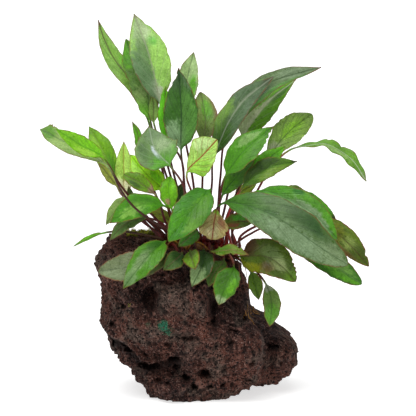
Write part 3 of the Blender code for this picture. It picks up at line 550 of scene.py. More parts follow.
def half_width(leaf, share, side):
    """The blade's left (-1) or right (1) half in mm at a share of its length."""
    widest = leaf.widest - side * leaf.lean
    bent = max(share, 1e-4) ** (math.log(0.5) / math.log(widest))
    fullness = BASE_FULLNESS if share < widest else leaf.point
    return max(leaf.width / 2 * abs(math.sin(math.pi * bent)) ** fullness, TIP_WIDTH)


def ragged_width(leaf, look, share, side, seed):
    """The half's width with its wandering edge and the bites out of it."""
    place = Vector((share * WOBBLES, HALVES_APART * side, seed))
    wide = 1 + WOBBLE * (noise.noise(place) + 0.5 * noise.noise(place * FINER))
    torn = 1 + BITE_ROUGHNESS * noise.noise(place * BITE_GRAIN)
    for at, bitten, reach, depth in look.bites:
        if bitten == side:
            wide -= depth * bell(share - at, reach) * torn
    return half_width(leaf, share, side) * wide


def section(leaf, look, share, seed):
    """One section of the blade: for each corner its place sideways and outwards in mm."""
    upper = []
    lower = []
    for side in ACROSS:
        half = ragged_width(leaf, look, share, math.copysign(1, side), seed)
        reach = abs(side)
        off = side * half
        arch = math.sin(math.pi * reach)
        full = min(half / FULL_WAVE, 1)
        cockle = noise.noise(Vector((share * COCKLES[0], side * COCKLES[1], seed)))
        wave = math.sin(2 * math.pi * (look.waves * share + WAVE_LAG * (side > 0)) + seed)
        vein = math.cos(2 * math.pi * (VEINS * share - VEIN_LAG * reach))
        rise = leaf.fold * half * reach + SWELL * half * arch
        rise += look.wave * reach**WAVE_STEEPNESS * wave * full
        rise += COCKLE * cockle * min(half / FULL_COCKLE, 1)
        rise += VEIN_HEIGHT * look.veins * vein * arch * full
        groove = RIB_GROOVE * bell(off, RIB_WIDTH)
        ridge = RIB_RIDGE * bell(off, RIB_WIDTH) * (1 - RIDGE_FADE * share)
        thick = BLADE_THICK * (1 - EDGE_THINNING * reach**4) / 2
        upper.append((off, rise + thick - groove, side, 1.0))
        lower.append((off, rise - thick - ridge, side, 0.0))
    return upper + lower[::-1]


def round_section(radius):
    upper = []
    lower = []
    for i, side in enumerate(ACROSS):
        turn = math.pi * (1 - (i + 0.5) / len(ACROSS))
        upper.append((radius * math.cos(turn), radius * math.sin(turn), side, 1.0))
        lower.append((radius * math.cos(turn), -radius * math.sin(turn), side, 0.0))
    return upper + lower[::-1]


def mixed(one, other, share):
    return [
        (a[0] + (b[0] - a[0]) * share, a[1] + (b[1] - a[1]) * share, a[2], a[3])
        for a, b in zip(one, other)
    ]


def leaf_rings(leaf, look, seed):
    """The leaf's sections from foot to tip: point, way forward and outward, corners, span.

    The span runs from -1 at the foot to 0 where the blade starts and 1 at its tip.
    """
    stalk, blade = midline(leaf)
    face = Vector(leaf.face).normalized()
    rings = []
    shares = np.linspace(0, 1, BLADE_RINGS)
    for share, (point, forward) in zip(shares.tolist(), along(blade, shares * length_of(blade))):
        opened = step_between(share, 0, OPENING)
        corners = mixed(round_section(NECK_RADIUS), section(leaf, look, share, seed), opened)
        rings.append((point, forward, squared_to(face, forward), corners, share))
    outward = rings[0][2]
    shares = np.linspace(0, 1, STALK_RINGS)[-2::-1]
    for share, (point, forward) in zip(shares.tolist(), along(stalk, shares * length_of(stalk))):
        outward = squared_to(outward, forward)
        radius = STALK_RADIUS + (NECK_RADIUS - STALK_RADIUS) * share
        radius += (SHEATH_RADIUS - STALK_RADIUS) * (1 - step_between(share, 0, SHEATH_REACH))
        rings.insert(0, (point, forward, outward, round_section(radius), share - 1))
    return rings


def patched(tints, look, share, side):
    """The colour of the patches, the leaf's own tones with painted sheen, highlights and shadows, at a
    share of the blade's length and from -1 to 1 across, and its weight.
    """
    colour = np.zeros(3)
    total = 1e-6
    left = 1
    for tint, (at, across, reach, spread, _) in zip(tints, look.tone_and_light_patches):
        weight = bell(share - at, reach) * bell(side - across, spread)
        colour += tint * weight
        total += weight
        left *= 1 - weight
    return colour / total, 1 - left


def make_leaf(leaf, material):
    """A fine leaf: a round stalk that opens into a thin blade, one closed skin."""
    node = "leaf_" + leaf.name
    look = LOOKS[leaf.name]
    seed = sum(map(ord, node)) % 97
    main = warmed(look.main)
    foot = np.array(linear(look.stalk))
    # the patches' colours: own tones, painted sheen, painted highlights and painted shadows
    tints = [warmed(patch[-1]) for patch in look.tone_and_light_patches]
    rings = leaf_rings(leaf, look, seed)
    points = []
    values = []
    for point, forward, outward, corners, span in rings:
        across = forward.cross(outward)
        share = max(span, 0)
        on_stalk = 1 - step_between(span, *STALK_END)
        for off, out, side, upper in corners:
            points.append(point + (across * off + outward * out) * MM)
            half = half_width(leaf, share, math.copysign(1, side))
            colour, weight = patched(tints, look, share, side)
            values.append({
                "tint": (*(main + (foot - main) * on_stalk), 1),
                "patch_tint": (*colour, 1),
                "patch": weight * (1 - on_stalk),
                "rib_tint": rgba(look.rib),
                "span": span,
                "side": side,
                "from_rib": abs(side) * half,
                "from_edge": (1 - abs(side)) * half + STALK_FROM_EDGE * on_stalk,
                "upper": upper,
                "finish": (look.rib_strength, look.veins, look.rim),
                "seed": seed,
            })
    count = len(rings[0][3])
    last = len(points) - count
    faces = [tuple(range(count))]
    for start in range(0, last, count):
        for i in range(count):
            j = (i + 1) % count
            faces.append((start + j, start + i, start + count + i, start + count + j))
    faces.append(tuple(reversed(range(last, len(points)))))
    piece = piece_from("blade_" + leaf.name, points, faces, material)
    add_values(piece.data, values)
    dressed(piece, node)


def add_values(mesh, values):
    """Numbers that the materials read, for each point of the mesh."""
    for name, first in values[0].items():
        width = len(first) if isinstance(first, tuple) else 1
        kind, field = {1: ("FLOAT", "value"), 3: ("FLOAT_VECTOR", "vector"),
                       4: ("FLOAT_COLOR", "color")}[width]
        numbers = np.array([point[name] for point in values], np.float32)
        mesh.attributes.new(name, kind, "POINT").data.foreach_set(field, numbers.ravel())


def placed(name, data):
    thing = bpy.data.objects.new(name, data)
    bpy.context.scene.collection.objects.link(thing)
    return thing


def piece_from(name, points, faces, material):
    mesh = bpy.data.meshes.new(name)
    mesh.from_pydata([tuple(p) for p in points], [], faces)
    bm = bmesh.new()
    bm.from_mesh(mesh)
    return finished(bm, mesh, material)


def finished(bm, mesh, material):
    """The smooth piece of this mesh, with its faces turned outwards."""
    bmesh.ops.recalc_face_normals(bm, faces=bm.faces[:])
    bm.to_mesh(mesh)
    bm.free()
    mesh.materials.append(material)
    mesh.shade_smooth()
    return placed(mesh.name, mesh)


def dressed(piece, node=None):
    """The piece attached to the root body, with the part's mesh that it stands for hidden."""
    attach(piece, "root")
    if node:
        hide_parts(node)
    return piece


# Materials


class Nodes:
    """Short words for building a node tree."""

    def __init__(self, name):
        self.material = bpy.data.materials.new(name)
        self.material.use_nodes = True
        self.tree = self.material.node_tree
        self.shader = self.tree.nodes["Principled BSDF"]

    def put(self, socket, value):
        if isinstance(value, bpy.types.NodeSocket):
            self.tree.links.new(value, socket)
        else:
            socket.default_value = value

    def add(self, kind, inputs=(), output=0, **settings):
        """An output of a new node, whose inputs come by name or in order."""
        node = self.tree.nodes.new("ShaderNode" + kind)
        for key, value in settings.items():
            setattr(node, key, value)
        named = inputs.items() if isinstance(inputs, dict) else enumerate(inputs)
        for socket, value in named:
            self.put(node.inputs[socket], value)
        return node.outputs[output]

    def shade(self, **values):
        """Gives the shader its inputs, with _ for each space in their names."""
        for name, value in values.items():
            self.put(self.shader.inputs[name.replace("_", " ")], value)

    def place(self):
        return self.add("TexCoord", output="Object")

    def sum(self, operation, *values):
        return self.add("Math", values, operation=operation)

    def plus(self, one, other):
        return self.sum("ADD", one, other)

    def times(self, one, other):
        return self.sum("MULTIPLY", one, other)

    def between(self, value, low, high, start=0.0, end=1.0):
        """start where the value is low, end where it is high, smooth between."""
        inputs = (value, low, high, start, end)
        return self.add("MapRange", inputs, interpolation_type="SMOOTHSTEP")

    def mix(self, share, one, other, blend="MIX"):
        inputs = {"Factor": share, "A": one, "B": other}
        return self.add("Mix", inputs, "Result", data_type="RGBA", blend_type=blend)

    def shaded(self, colour, by, value, low, high, share):
        """The colour multiplied by another, up to that share, from low to high."""
        return self.mix(self.between(value, low, high, 0, share), colour, by, "MULTIPLY")

    def value_of(self, name, output="Fac"):
        return self.add("Attribute", output=output, attribute_name=name)

    def noise(self, place, scale, detail=3.0, roughness=0.55):
        inputs = {"Vector": place, "Scale": scale, "Detail": detail, "Roughness": roughness}
        return self.add("TexNoise", inputs)

    def cells(self, place, scale, feature="F1"):
        """How far it is to the middle, or to the edge, of the nearest cell."""
        return self.add("TexVoronoi", {"Vector": place, "Scale": scale}, "Distance", feature=feature)

    def shifted(self, place, by):
        """The same place in another part of the noise."""
        return self.add("VectorMath", (place, (by, by, by)), operation="ADD")

    def pores(self, place, scale, radius, share):
        """1 in the pores, of which that share of the cells has one, 0 between them."""
        distance = self.cells(place, scale)
        inside = self.between(distance, radius * 0.6, radius * 1.15, 1, 0)
        chance = self.add("SeparateColor", [distance.node.outputs["Color"]])
        return self.times(inside, self.between(chance, share, share + 0.04, 1, 0))

    def bump(self, height, distance, strength):
        return self.add("Bump", {"Height": height, "Distance": distance, "Strength": strength})


UNDERSIDE = (158, 160, 118)
UNDER_VEIN = (128, 72, 56)
UNDER_RIB = (132, 70, 56)
MARGIN = (122, 72, 52)


def leaf_material():
    """Glossy leaf: midrib, arching side veins, fine net, brown margin, paler underside."""
    n = Nodes("leaf")
    place = n.place()
    span = n.value_of("span")
    side = n.value_of("side")
    reach = n.sum("ABSOLUTE", side)
    finish = n.add("SeparateXYZ", [n.value_of("finish", "Vector")])
    rib_strength, vein_strength, rim_strength = finish.node.outputs
    on_blade = n.between(span, 0.0, 0.08)

    broad = n.noise(place, 95, 3)
    mid = n.noise(place, 380, 3, 0.6)
    fine = n.noise(place, 1150, 2, 0.6)
    # The patches lay the leaf's own tones and its painted sheen, highlights and shadows over the main
    # colour
    ragged = n.plus(n.value_of("patch"), n.times(n.sum("SUBTRACT", mid, 0.5), 0.9))
    colour = n.mix(n.between(ragged, 0.18, 0.62), n.value_of("tint", "Color"),
                   n.value_of("patch_tint", "Color"))
    for by, value, low, high, share in (
        (DARKER, broad, 0.35, 0.7, 0.5), (DARKER, mid, 0.5, 0.32, 0.5), (PALER, mid, 0.54, 0.7, 0.6),
        (DARKER, fine, 0.5, 0.3, 0.5), (PALER, fine, 0.54, 0.7, 0.5),
    ):
        colour = n.shaded(colour, by, value, low, high, share)

    # Side veins leave the midrib and run on towards the tip
    lag = n.times(n.sum("POWER", reach, 0.8), VEIN_LAG)
    run = n.plus(n.sum("SUBTRACT", n.times(span, VEINS), lag), n.times(broad, 0.3))
    streak_place = n.add("CombineXYZ", (n.times(run, 4.0), side, n.value_of("seed")))
    streak = n.noise(streak_place, 1.6, 2, 0.6)
    streaked = n.shaded(colour, DARKER, streak, 0.5, 0.3, 0.75)
    streaked = n.shaded(streaked, PALER, streak, 0.52, 0.75, 0.75)
    colour = n.mix(n.times(on_blade, n.between(vein_strength, 0, 0.7)), colour, streaked)
    vein = n.between(n.sum("PINGPONG", run, 0.5), 0.0, 0.13, 1, 0)
    vein = n.times(n.times(vein, n.between(reach, 0.9, 1.0, 1, 0)), on_blade)
    net = n.between(n.cells(place, 1150, "DISTANCE_TO_EDGE"), 0.0, 0.12, 1, 0)
    rib = n.times(n.between(n.value_of("from_rib"), 0.1, 0.62, 1, 0), on_blade)
    rib_tint = n.value_of("rib_tint", "Color")
    colour = n.mix(n.times(vein, n.times(vein_strength, 0.5)), colour, rib_tint)
    colour = n.mix(n.times(net, n.times(vein_strength, 0.22)), colour, rib_tint)
    colour = n.mix(n.times(rib, rib_strength), colour, rib_tint)

    # The underside is paler and duller, with red-brown veins
    below = n.mix(0.45, colour, rgba(UNDERSIDE))
    below = n.mix(n.times(vein, 0.5), below, rgba(UNDER_VEIN))
    below = n.mix(n.times(rib, 0.7), below, rgba(UNDER_RIB))
    under = n.times(n.sum("SUBTRACT", 1.0, n.value_of("upper")), on_blade)
    colour = n.mix(under, colour, below)

    # A thin brown margin, uneven along the edge
    margin = n.between(n.value_of("from_edge"), 0.3, 0.85, 1, 0)
    uneven = n.between(n.noise(place, 210, 2), 0.36, 0.6, 0.15, 1)
    margin = n.times(margin, n.times(uneven, rim_strength))
    height = n.plus(n.times(vein, -0.6), n.times(net, -0.2))
    height = n.plus(n.plus(height, n.times(streak, 0.8)), n.times(mid, 0.8))
    n.shade(
        Base_Color=n.mix(margin, colour, rgba(MARGIN)),
        Roughness=n.plus(n.between(mid, 0.3, 0.7, 0.26, 0.42), n.times(under, 0.2)),
        Specular_IOR_Level=0.3,
        Normal=n.bump(height, 0.00028, 0.8),
    )
    return n.material


# The stone, from the part's rule with finer relief

STONE_DEPTH = 43
STONE_MIDDLE = (-4, 50)
STONE_GRID = 118
STONE_FULLNESS = 0.78
LUMP_SIZE = 24
LUMP_HEIGHT = 7.0
KNOB_SIZE = 9
KNOB_HEIGHT = 3.8
RIM_ROUGHNESS = 0.3
LOBE_SETBACK = 13
LOBE_ACROSS = (36, 43)
LOBE_UP = (36, 54)
WELD = 0.001 * MM

STONE_OUTLINE = [
    (-52, 99), (-46, 101.5), (-38, 102), (-28, 101), (-17, 97), (-8, 93), (3, 91), (14, 87), (20, 81),
    (21.5, 73), (24.5, 66), (28.5, 59.5), (34, 54), (42, 49), (48, 43.5), (53, 40), (58, 35.5),
    (61, 29), (59, 21), (51, 14), (43, 9), (36, 11), (26, 8), (14, 1), (-4, -9), (-17, -6), (-25, 4),
    (-33, 13), (-39, 20), (-47, 26), (-52, 37), (-58, 47), (-58.5, 53), (-55.5, 59), (-55.5, 69),
    (-60, 80), (-61.5, 86), (-57.5, 92),
]

# A mark on the stone's front: mm across, mm up, half its width and height in mm, how strong.
# A hollow's strength is its depth in mm, and one below zero is a swelling.
STONE_HOLLOWS = [
    (-28.5, 62, 4.5, 6.5, 9), (-30, 66, 12, 9, 3), (-50.5, 47, 3.5, 3.5, 4), (10.5, 60, 4.5, 17, 9),
    (4.2, 18, 4, 3.2, 6), (-6.5, 15, 4, 3.6, 5), (-2, 10, 3, 3, 4), (23, 43, 5, 3, 3),
    (-8, 39, 6, 3, 3), (46, 34, 8, 4.5, 6), (43.5, 25, 3, 14, 7), (19, 67, 8, 11, 6),
    (-48, 30, 7, 7, 4), (-24, 42, 24, 11, -6), (20, 28, 15, 14, -5), (0, 12, 30, 6, -3),
]
# Small open holes, with their depth in mm
STONE_HOLES = [
    (-28.5, 60, 4.2, 4.8, 6), (-50.4, 46.8, 1.8, 1.8, 5), (-5.4, 39, 5, 1.1, 5),
    (21.6, 43.2, 3.2, 0.9, 5), (20, 36.6, 2.4, 1, 4), (46, 32.4, 3.6, 1.3, 6),
    (4.5, 18, 2.6, 1.9, 7), (-6.6, 15, 2.4, 2, 7), (-1.8, 10, 1.8, 1.7, 6), (-22.8, 13, 3, 1.1, 5),
    (-17, 11.4, 2.4, 0.9, 4), (7.5, 10.8, 1.8, 1, 4), (15, 11.4, 1.6, 1, 4), (-31, 29.4, 1.8, 1, 4),
    (-13.5, 25.8, 3.4, 1.8, 8), (-28, 21.2, 6.5, 2.2, 9), (-48, 35, 5, 2.2, 6),
    (-40, 30.5, 3.4, 1.6, 6), (37, 52, 2, 1, 3), (57, 18, 1.8, 1.2, 3), (30, 14.5, 2, 0.9, 3),
    (-18, 36, 2, 0.9, 3), (9.2, 60, 3, 10, 5), (10, 47, 2, 4, 5), (-8, 66, 1.5, 1.2, 3),
    (-42, 33, 2, 1, 4), (-20, 51, 1.4, 1.1, 3), (28, 50, 1.8, 1.1, 3), (-44, 58, 1.6, 1.3, 3),
    (33, 24, 1.5, 1.2, 3), (16, 22, 1.4, 1.1, 3), (-12, 20.5, 2, 1, 4), (50, 24, 1.6, 1.2, 3),
    (0, 70, 1.6, 1.2, 3),
]
# Broad painted shadows, from 0 to 1: the leaves' shadows on the stone's top and right side, and painted
# shade in the valley, the hollow and under the ledge
STONE_SHADOWS = [
    (25, 61, 12, 8, 0.6), (9, 63, 5, 10, 0.5), (-30, 86, 16, 5, 0.35), (-48, 90, 16, 12, 0.4),
    (2, 76, 30, 6, 0.45), (-28, 62, 9, 8, 0.5), (-22, 22, 18, 7, 0.35),
]
# Blue-green film, from 0 to 1
STONE_FILM = [(-20, 46, 4.2, 4.4, 1), (-16.5, 43, 2.6, 2, 0.8), (-29, 48, 2, 1.8, 0.35)]
# How each kind of mark runs out: its edge's raggedness, the size of that in mm, from where to where
HOLE_EDGE = (0.35, 1.7, 0.55, 1.25)
SHADOW_EDGE = (0.4, 4, 0.5, 1.3)
FILM_EDGE = (0.7, 2.4, 0.5, 1)

# The overhang low on the left: its lip from left to right, in mm across and mm up
LEDGE_LINE = [
    (-62, 52), (-51, 39), (-43, 36.5), (-37, 30.5), (-33, 25), (-28, 23.5), (-22, 25), (-16, 27.5),
    (-10, 28), (-2, 33),
]
LEDGE_END = (-14, -3)  # mm across over which it runs out
LEDGE_DEEP = 11  # mm cut away under it
LEDGE_TALL = 6  # mm below the lip where the cut starts to run out
LEDGE_FADE = 14  # mm that it takes
LEDGE_LIP = 1.5  # mm each way over which its lower edge turns in
LEDGE_RIM = 0.28  # how far the lip stands out, as a share of the cut's depth
LEDGE_RIM_UP = 1  # mm that this rim lies above the lip
LEDGE_RIM_REACH = 1.6  # mm
# The strip of painted shade under the lip
LEDGE_SHADE_FROM = (0, 1.2)  # mm below the lip over which the dark strip sets in
LEDGE_SHADE_TO = (3.5, 10)  # and over which it runs out
# painted shade in the holes and pits
HOLE_SHADE = 0.75  # how dark holes and pits are

# What roughens the surface, from coarse to fine: knobs of crust, clods and two sizes of grit
CRUST_SIZE = 6.5  # mm
CRUST_HEIGHT = 1.9
CRUST_SHIFT = Vector((4, 9, 2))
CLOD_SIZE = 5  # mm
CLOD_HEIGHT = 1.9
CLOD_LEVEL = 0.45
GRIT = [(3.6, 1.2), (1.7, 1.0)]  # size and height in mm
# Pores and the back's wide pits: mm between them, seed, share of the cells with one, mm deep
PORES = [(3.4, 5, 0.22, 1.3), (2.2, 11, 0.4, 0.8)]
BACK_PITS = (9, 17, 0.4, 3.2)
BACK_FROM = (-8, 6)  # mm in depth over which the pits set in
PORE_RADIUS = 0.34  # share of the distance between them
PORE_GROWTH = 0.22  # how much wider some of them are
PORE_FLOOR = 0.45  # share of the radius that is its floor
PORE_SHUFFLE = 7.3  # takes each cell's middle to another cell of the random rule


def outline_reach():
    angles = []
    radii = []
    for across, up in STONE_OUTLINE:
        right = across - STONE_MIDDLE[0]
        above = level(up, 0) - STONE_MIDDLE[1]
        angles.append(math.atan2(above, right))
        radii.append(math.hypot(above, right))
    return angles, radii


def off_mark(place, mark):
    """How far a place in mm is from a mark's middle, where 1 is the mark's own half size."""
    across, up, wide, tall, _ = mark
    return math.hypot((place.x - across) / wide, (place.z - level(up, place.y)) / tall)


def marked(place, marks, edge):
    """For each mark how far inside it a place is, from 0 to 1, where the edge is ragged."""
    roughness, size, start, end = edge
    ragged = roughness * noise.noise(place / size)
    return [1 - step_between(off_mark(place, mark) + ragged, start, end) for mark in marks]


def strongest(place, marks, edge):
    """How strong the marks are at a place on the stone's front."""
    if place.y > 0:
        return 0
    return max(mark[-1] * share for mark, share in zip(marks, marked(place, marks, edge)))


def below_lip(place):
    """How many mm a place lies below the ledge's lip."""
    return level(float(np.interp(place.x, *zip(*LEDGE_LINE))), place.y) - place.z


def carve(place):
    """How far back in mm a place on the stone's front is pushed by all that is cut into it."""
    back = 0
    for mark in STONE_HOLLOWS:
        back += mark[-1] * bell(off_mark(place, mark), 1)
    below = below_lip(place)
    cut = step_between(below, -LEDGE_LIP, LEDGE_LIP)
    cut *= 1 - step_between(below, LEDGE_TALL, LEDGE_TALL + LEDGE_FADE)
    cut -= LEDGE_RIM * bell(below + LEDGE_RIM_UP, LEDGE_RIM_REACH)
    back += LEDGE_DEEP * cut * (1 - step_between(place.x, *LEDGE_END))
    holes = 0
    for mark, share in zip(STONE_HOLES, marked(place, STONE_HOLES, HOLE_EDGE)):
        holes += mark[-1] * share
    return back + holes


def ledge_shade(place):
    """1 in the strip of painted shade right under the ledge's lip, 0 away from it."""
    if place.y > 0:
        return 0
    below = below_lip(place)
    strip = step_between(below, *LEDGE_SHADE_FROM) * (1 - step_between(below, *LEDGE_SHADE_TO))
    return strip * (1 - step_between(place.x, *LEDGE_END))


def pore(place, size, seed, share):
    """0 outside the pores, up to 1 in the middle of one: a share of the cells has one."""
    shifted = place / size + Vector((seed, 2 * seed, 3 * seed))
    distances, middles = noise.voronoi(shifted)
    kept = noise.cell(middles[0] * PORE_SHUFFLE + Vector((seed, 0, 0)))
    if kept > share:
        return 0
    radius = PORE_RADIUS + PORE_GROWTH * (share - kept)
    return 1 - step_between(distances[0], radius * PORE_FLOOR, radius)


def seat_lift(place):
    """How far up in mm the stone's top is drawn to meet the rhizome."""
    xs, ys, zs = zip(*RHIZOME_PATH)
    beside = place.y - float(np.interp(place.x, xs, ys))
    beyond = max(xs[0] - place.x, place.x - xs[-1], 0)
    missing = float(np.interp(place.x, xs, zs)) - SEAT_SINK - place.z
    return max(missing, 0) * bell(math.hypot(beside, beyond), SEAT_REACH)


def stone_point(direction, angles, radii):
    """The part's stone, with pores and grit: a place in mm and how dark its painted shade is there, in
    pores, holes, pits, under the ledge and in the leaves' painted shadows.
    """
    flat = math.hypot(direction.x, direction.z)
    angle = math.atan2(direction.z, direction.x)
    reach = float(np.interp(angle, angles, radii, period=2 * math.pi)) * flat**STONE_FULLNESS
    x = STONE_MIDDLE[0] + reach * math.cos(angle)
    z = STONE_MIDDLE[1] + reach * math.sin(angle)
    y = math.copysign(STONE_DEPTH * abs(direction.y) ** STONE_FULLNESS, direction.y)
    y += LOBE_SETBACK * step_between(x, *LOBE_ACROSS) * (1 - step_between(z, *LOBE_UP))
    rough = RIM_ROUGHNESS + (1 - RIM_ROUGHNESS) * abs(direction.y)
    place = Vector((x, y, z))
    swell = LUMP_HEIGHT * noise.noise(place / LUMP_SIZE)
    swell += KNOB_HEIGHT * noise.noise(place / KNOB_SIZE)
    place += direction * swell * rough
    if direction.y < 0:
        place.y += carve(place)
    if direction.z > 0:
        place.z += seat_lift(place)
    rise = 0
    for size, high in GRIT:
        rise += high * noise.noise(place / size)
    rise += CRUST_HEIGHT * abs(noise.noise(place / CRUST_SIZE + CRUST_SHIFT))
    rise += CLOD_HEIGHT * (CLOD_LEVEL - noise.voronoi(place / CLOD_SIZE)[0][0])
    pores = [pore(place, *kind[:-1]) for kind in PORES]
    pit = pore(place, *BACK_PITS[:-1]) * step_between(place.y, *BACK_FROM)
    for kind, sunk in zip((*PORES, BACK_PITS), (*pores, pit)):
        rise -= kind[-1] * sunk
    place += direction * rise
    # Painted shade: pores, holes and pits darkened, the strip under the ledge and the leaves' painted
    # shadows
    hole = max(marked(place, STONE_HOLES, HOLE_EDGE)) if place.y < 0 else 0
    # painted shadows of the leaves and painted shade in the valley, the hollow and under the ledge
    painted_shadow = strongest(place, STONE_SHADOWS, SHADOW_EDGE)
    return place, max(*pores, HOLE_SHADE * hole, HOLE_SHADE * pit, ledge_shade(place), painted_shadow)


def make_stone(material):
    angles, radii = outline_reach()
    bm = bmesh.new()
    bmesh.ops.create_cube(bm, size=2)
    bmesh.ops.subdivide_edges(bm, edges=bm.edges[:], cuts=STONE_GRID, use_grid_fill=True)
    # sunk carries the painted shade: pores, holes, pits, the strip under the ledge and the leaves' painted
    # shadows
    sunk = bm.verts.layers.float.new("sunk")
    film = bm.verts.layers.float.new("film")
    for vertex in bm.verts:
        place, vertex[sunk] = stone_point(vertex.co.normalized(), angles, radii)
        vertex[film] = strongest(place, STONE_FILM, FILM_EDGE)
        vertex.co = place * MM
    bmesh.ops.bisect_plane(
        bm, geom=bm.verts[:] + bm.edges[:] + bm.faces[:], dist=WELD,
        plane_co=(0, 0, 0), plane_no=(0, 0, -1), clear_outer=True,
    )
    bmesh.ops.contextual_create(bm, geom=[edge for edge in bm.edges if edge.is_boundary])
    piece = finished(bm, bpy.data.meshes.new("lava_stone"), material)
    return dressed(piece, "stone")


LAVA_DARK = (58, 42, 38)
LAVA_RED = (93, 63, 56)
LAVA_WORN = (91, 81, 74)
GRIT_BROWN = (134, 100, 90)
GRIT_PALE = (160, 134, 124)
PORE_BLACK = (20, 14, 13)
SHADE_BLACK = (22, 16, 14)
FILM_DARK = (34, 78, 62)
FILM_BRIGHT = (66, 130, 102)


def stone_material():
    """Dark red-brown lava: fine pores painted near black for the shade in them, paler grit, greyer where
    it is worn, and the painted shade and shadows that the mesh carries.
    """
    n = Nodes("lava")
    place = n.place()
    big = n.noise(place, 32, 4, 0.6)
    worn = n.noise(n.shifted(place, 3), 55, 3, 0.6)
    mid = n.noise(place, 260, 4, 0.65)
    small = n.noise(place, 1100, 2, 0.7)
    dark = n.sum("MAXIMUM", n.pores(place, 760, 0.4, 0.6), n.pores(n.shifted(place, 7), 380, 0.3, 0.4))
    green = n.mix(n.between(small, 0.4, 0.6), rgba(FILM_DARK), rgba(FILM_BRIGHT))
    colour = n.mix(n.between(big, 0.36, 0.64), rgba(LAVA_DARK), rgba(LAVA_RED))
    for share, tint in (
        (n.between(worn, 0.48, 0.64, 0, 0.8), rgba(LAVA_WORN)),
        (n.between(mid, 0.5, 0.7, 0, 0.6), rgba(GRIT_BROWN)),
        (n.between(small, 0.54, 0.68, 0, 0.6), rgba(GRIT_PALE)),
        # the fine pores painted near black for the shade inside them
        (n.times(dark, 0.92), rgba(PORE_BLACK)),
        # the painted shade and painted shadows that the mesh carries
        (n.times(n.value_of("sunk"), 0.8), rgba(SHADE_BLACK)),
        (n.times(n.value_of("film"), n.between(mid, 0.38, 0.52)), green),
    ):
        colour = n.mix(share, colour, tint)
    height = n.sum("SUBTRACT", n.plus(mid, n.times(small, 0.7)), dark)
    n.shade(
        Base_Color=colour,
        Roughness=n.between(small, 0.3, 0.7, 0.7, 0.95),
        Specular_IOR_Level=0.2,
        Normal=n.bump(height, 0.0012, 1.0),
    )
    return n.material


# The rhizome and what clings to it

SCARRED_RADIUS = (0.82, 0.2)  # shares of the radius: between the leaf scars, and added on one
RHIZOME_SKIN = (150, 20)  # rings and corners of its fine form
STEM_END = 0.03  # share of its length that rounds off at each end
KNOBBLE_HEIGHT = 0.4  # mm
KNOBBLE_SIZE = 2  # mm
STEM_DARK = (70, 42, 30)
STEM_LIGHT = (128, 92, 48)
STEM_PALE = (150, 118, 70)
ANY_SIDE = Vector((0.3, 0.2, 1))  # from which a tube's first corner is set out


def skin_along(points, radii, corners=8):
    """Points and faces of a round tube through the points, with closed ends."""
    made = []
    faces = []
    across = ANY_SIDE
    last = len(points) - 1
    for i, (point, radius) in enumerate(zip(points, radii)):
        forward = (points[min(i + 1, last)] - points[max(i - 1, 0)]).normalized()
        across = squared_to(across, forward)
        beside = forward.cross(across)
        for k in range(corners):
            turn = 2 * math.pi * k / corners
            made.append(point + (across * math.cos(turn) + beside * math.sin(turn)) * radius)
    for start in range(0, last * corners, corners):
        for k in range(corners):
            j = (k + 1) % corners
            faces.append((start + k, start + j, start + corners + j, start + corners + k))
    faces.append(tuple(reversed(range(corners))))
    faces.append(tuple(range(last * corners, len(made))))
    return made, faces


def make_rhizome(material):
    """The creeping stem, ringed by leaf scars."""
    rings, corners = RHIZOME_SKIN
    shares = np.linspace(0, 1, rings)
    places = [p for p, _ in along(LINE, shares * length_of(LINE))]
    places[0] = LINE[0]
    radii = []
    plain, scarred = SCARRED_RADIUS
    for share in shares:
        scar = abs(math.sin(math.pi * share * RHIZOME_RINGS))
        past = max(0, (abs(share - 0.5) - 0.5 + STEM_END) / STEM_END)
        end = math.sqrt(max(1 - past**2, 0.04))
        radii.append(RHIZOME_RADIUS * MM * (plain + scarred * scar) * end)
    points, faces = skin_along(places, radii, corners)
    knobbly = [p + UP * KNOBBLE_HEIGHT * MM * noise.noise(p / (KNOBBLE_SIZE * MM)) for p in points]
    dressed(piece_from("creeping_stem", knobbly, faces, material), "rhizome")


def stem_material():
    n = Nodes("stem")
    place = n.place()
    broad = n.noise(place, 140, 3)
    fine = n.noise(place, 900, 3)
    colour = n.mix(n.between(broad, 0.35, 0.65), rgba(STEM_DARK), rgba(STEM_LIGHT))
    n.shade(
        Base_Color=n.mix(n.between(fine, 0.5, 0.75, 0, 0.6), colour, rgba(STEM_PALE)),
        Roughness=n.between(fine, 0.3, 0.7, 0.55, 0.85),
        Normal=n.bump(fine, 0.0004, 0.8),
    )
    return n.material


# What grows on the stone

ROOT_SEED = 5
ROOT_COUNT = 90
ROOT_STEP = 1.3  # mm
ROOT_WANDER = 0.5
ROOT_LIFT = 0.15  # mm above the stone
ROOT_STEPS = (6, 18)
ROOT_RADIUS = (0.25, 0.5)  # mm
ROOT_START = 0.8  # share of the rhizome's radius at which they start
ROOT_DROP = 0.7  # how steeply they leave it, where 1 is half a right angle
ROOT_SPREAD = 0.7  # and how far to either side
THREAD_STEPS = 8
TAPER = 0.75  # share of a thread's radius that is gone at its end
RUST_ROOTS_AT = [(30.5, 55), (32, 53.5), (31, 51), (34, 55.5), (35, 53.5), (29.5, 52.5)]
RUST_ROOTS_EACH = 3
RUST_ROOT_STEPS = 5
RUST_ROOT_RADIUS = 0.28
MOSS_SEED = 3
MOSS_RADIUS = 0.2  # mm
MOSS_UPRIGHT = 0.6
MOSS_SPREAD = 0.8
MOSS_BEND = 0.2
MOSS_SHORTEST = 0.4  # share of the full length
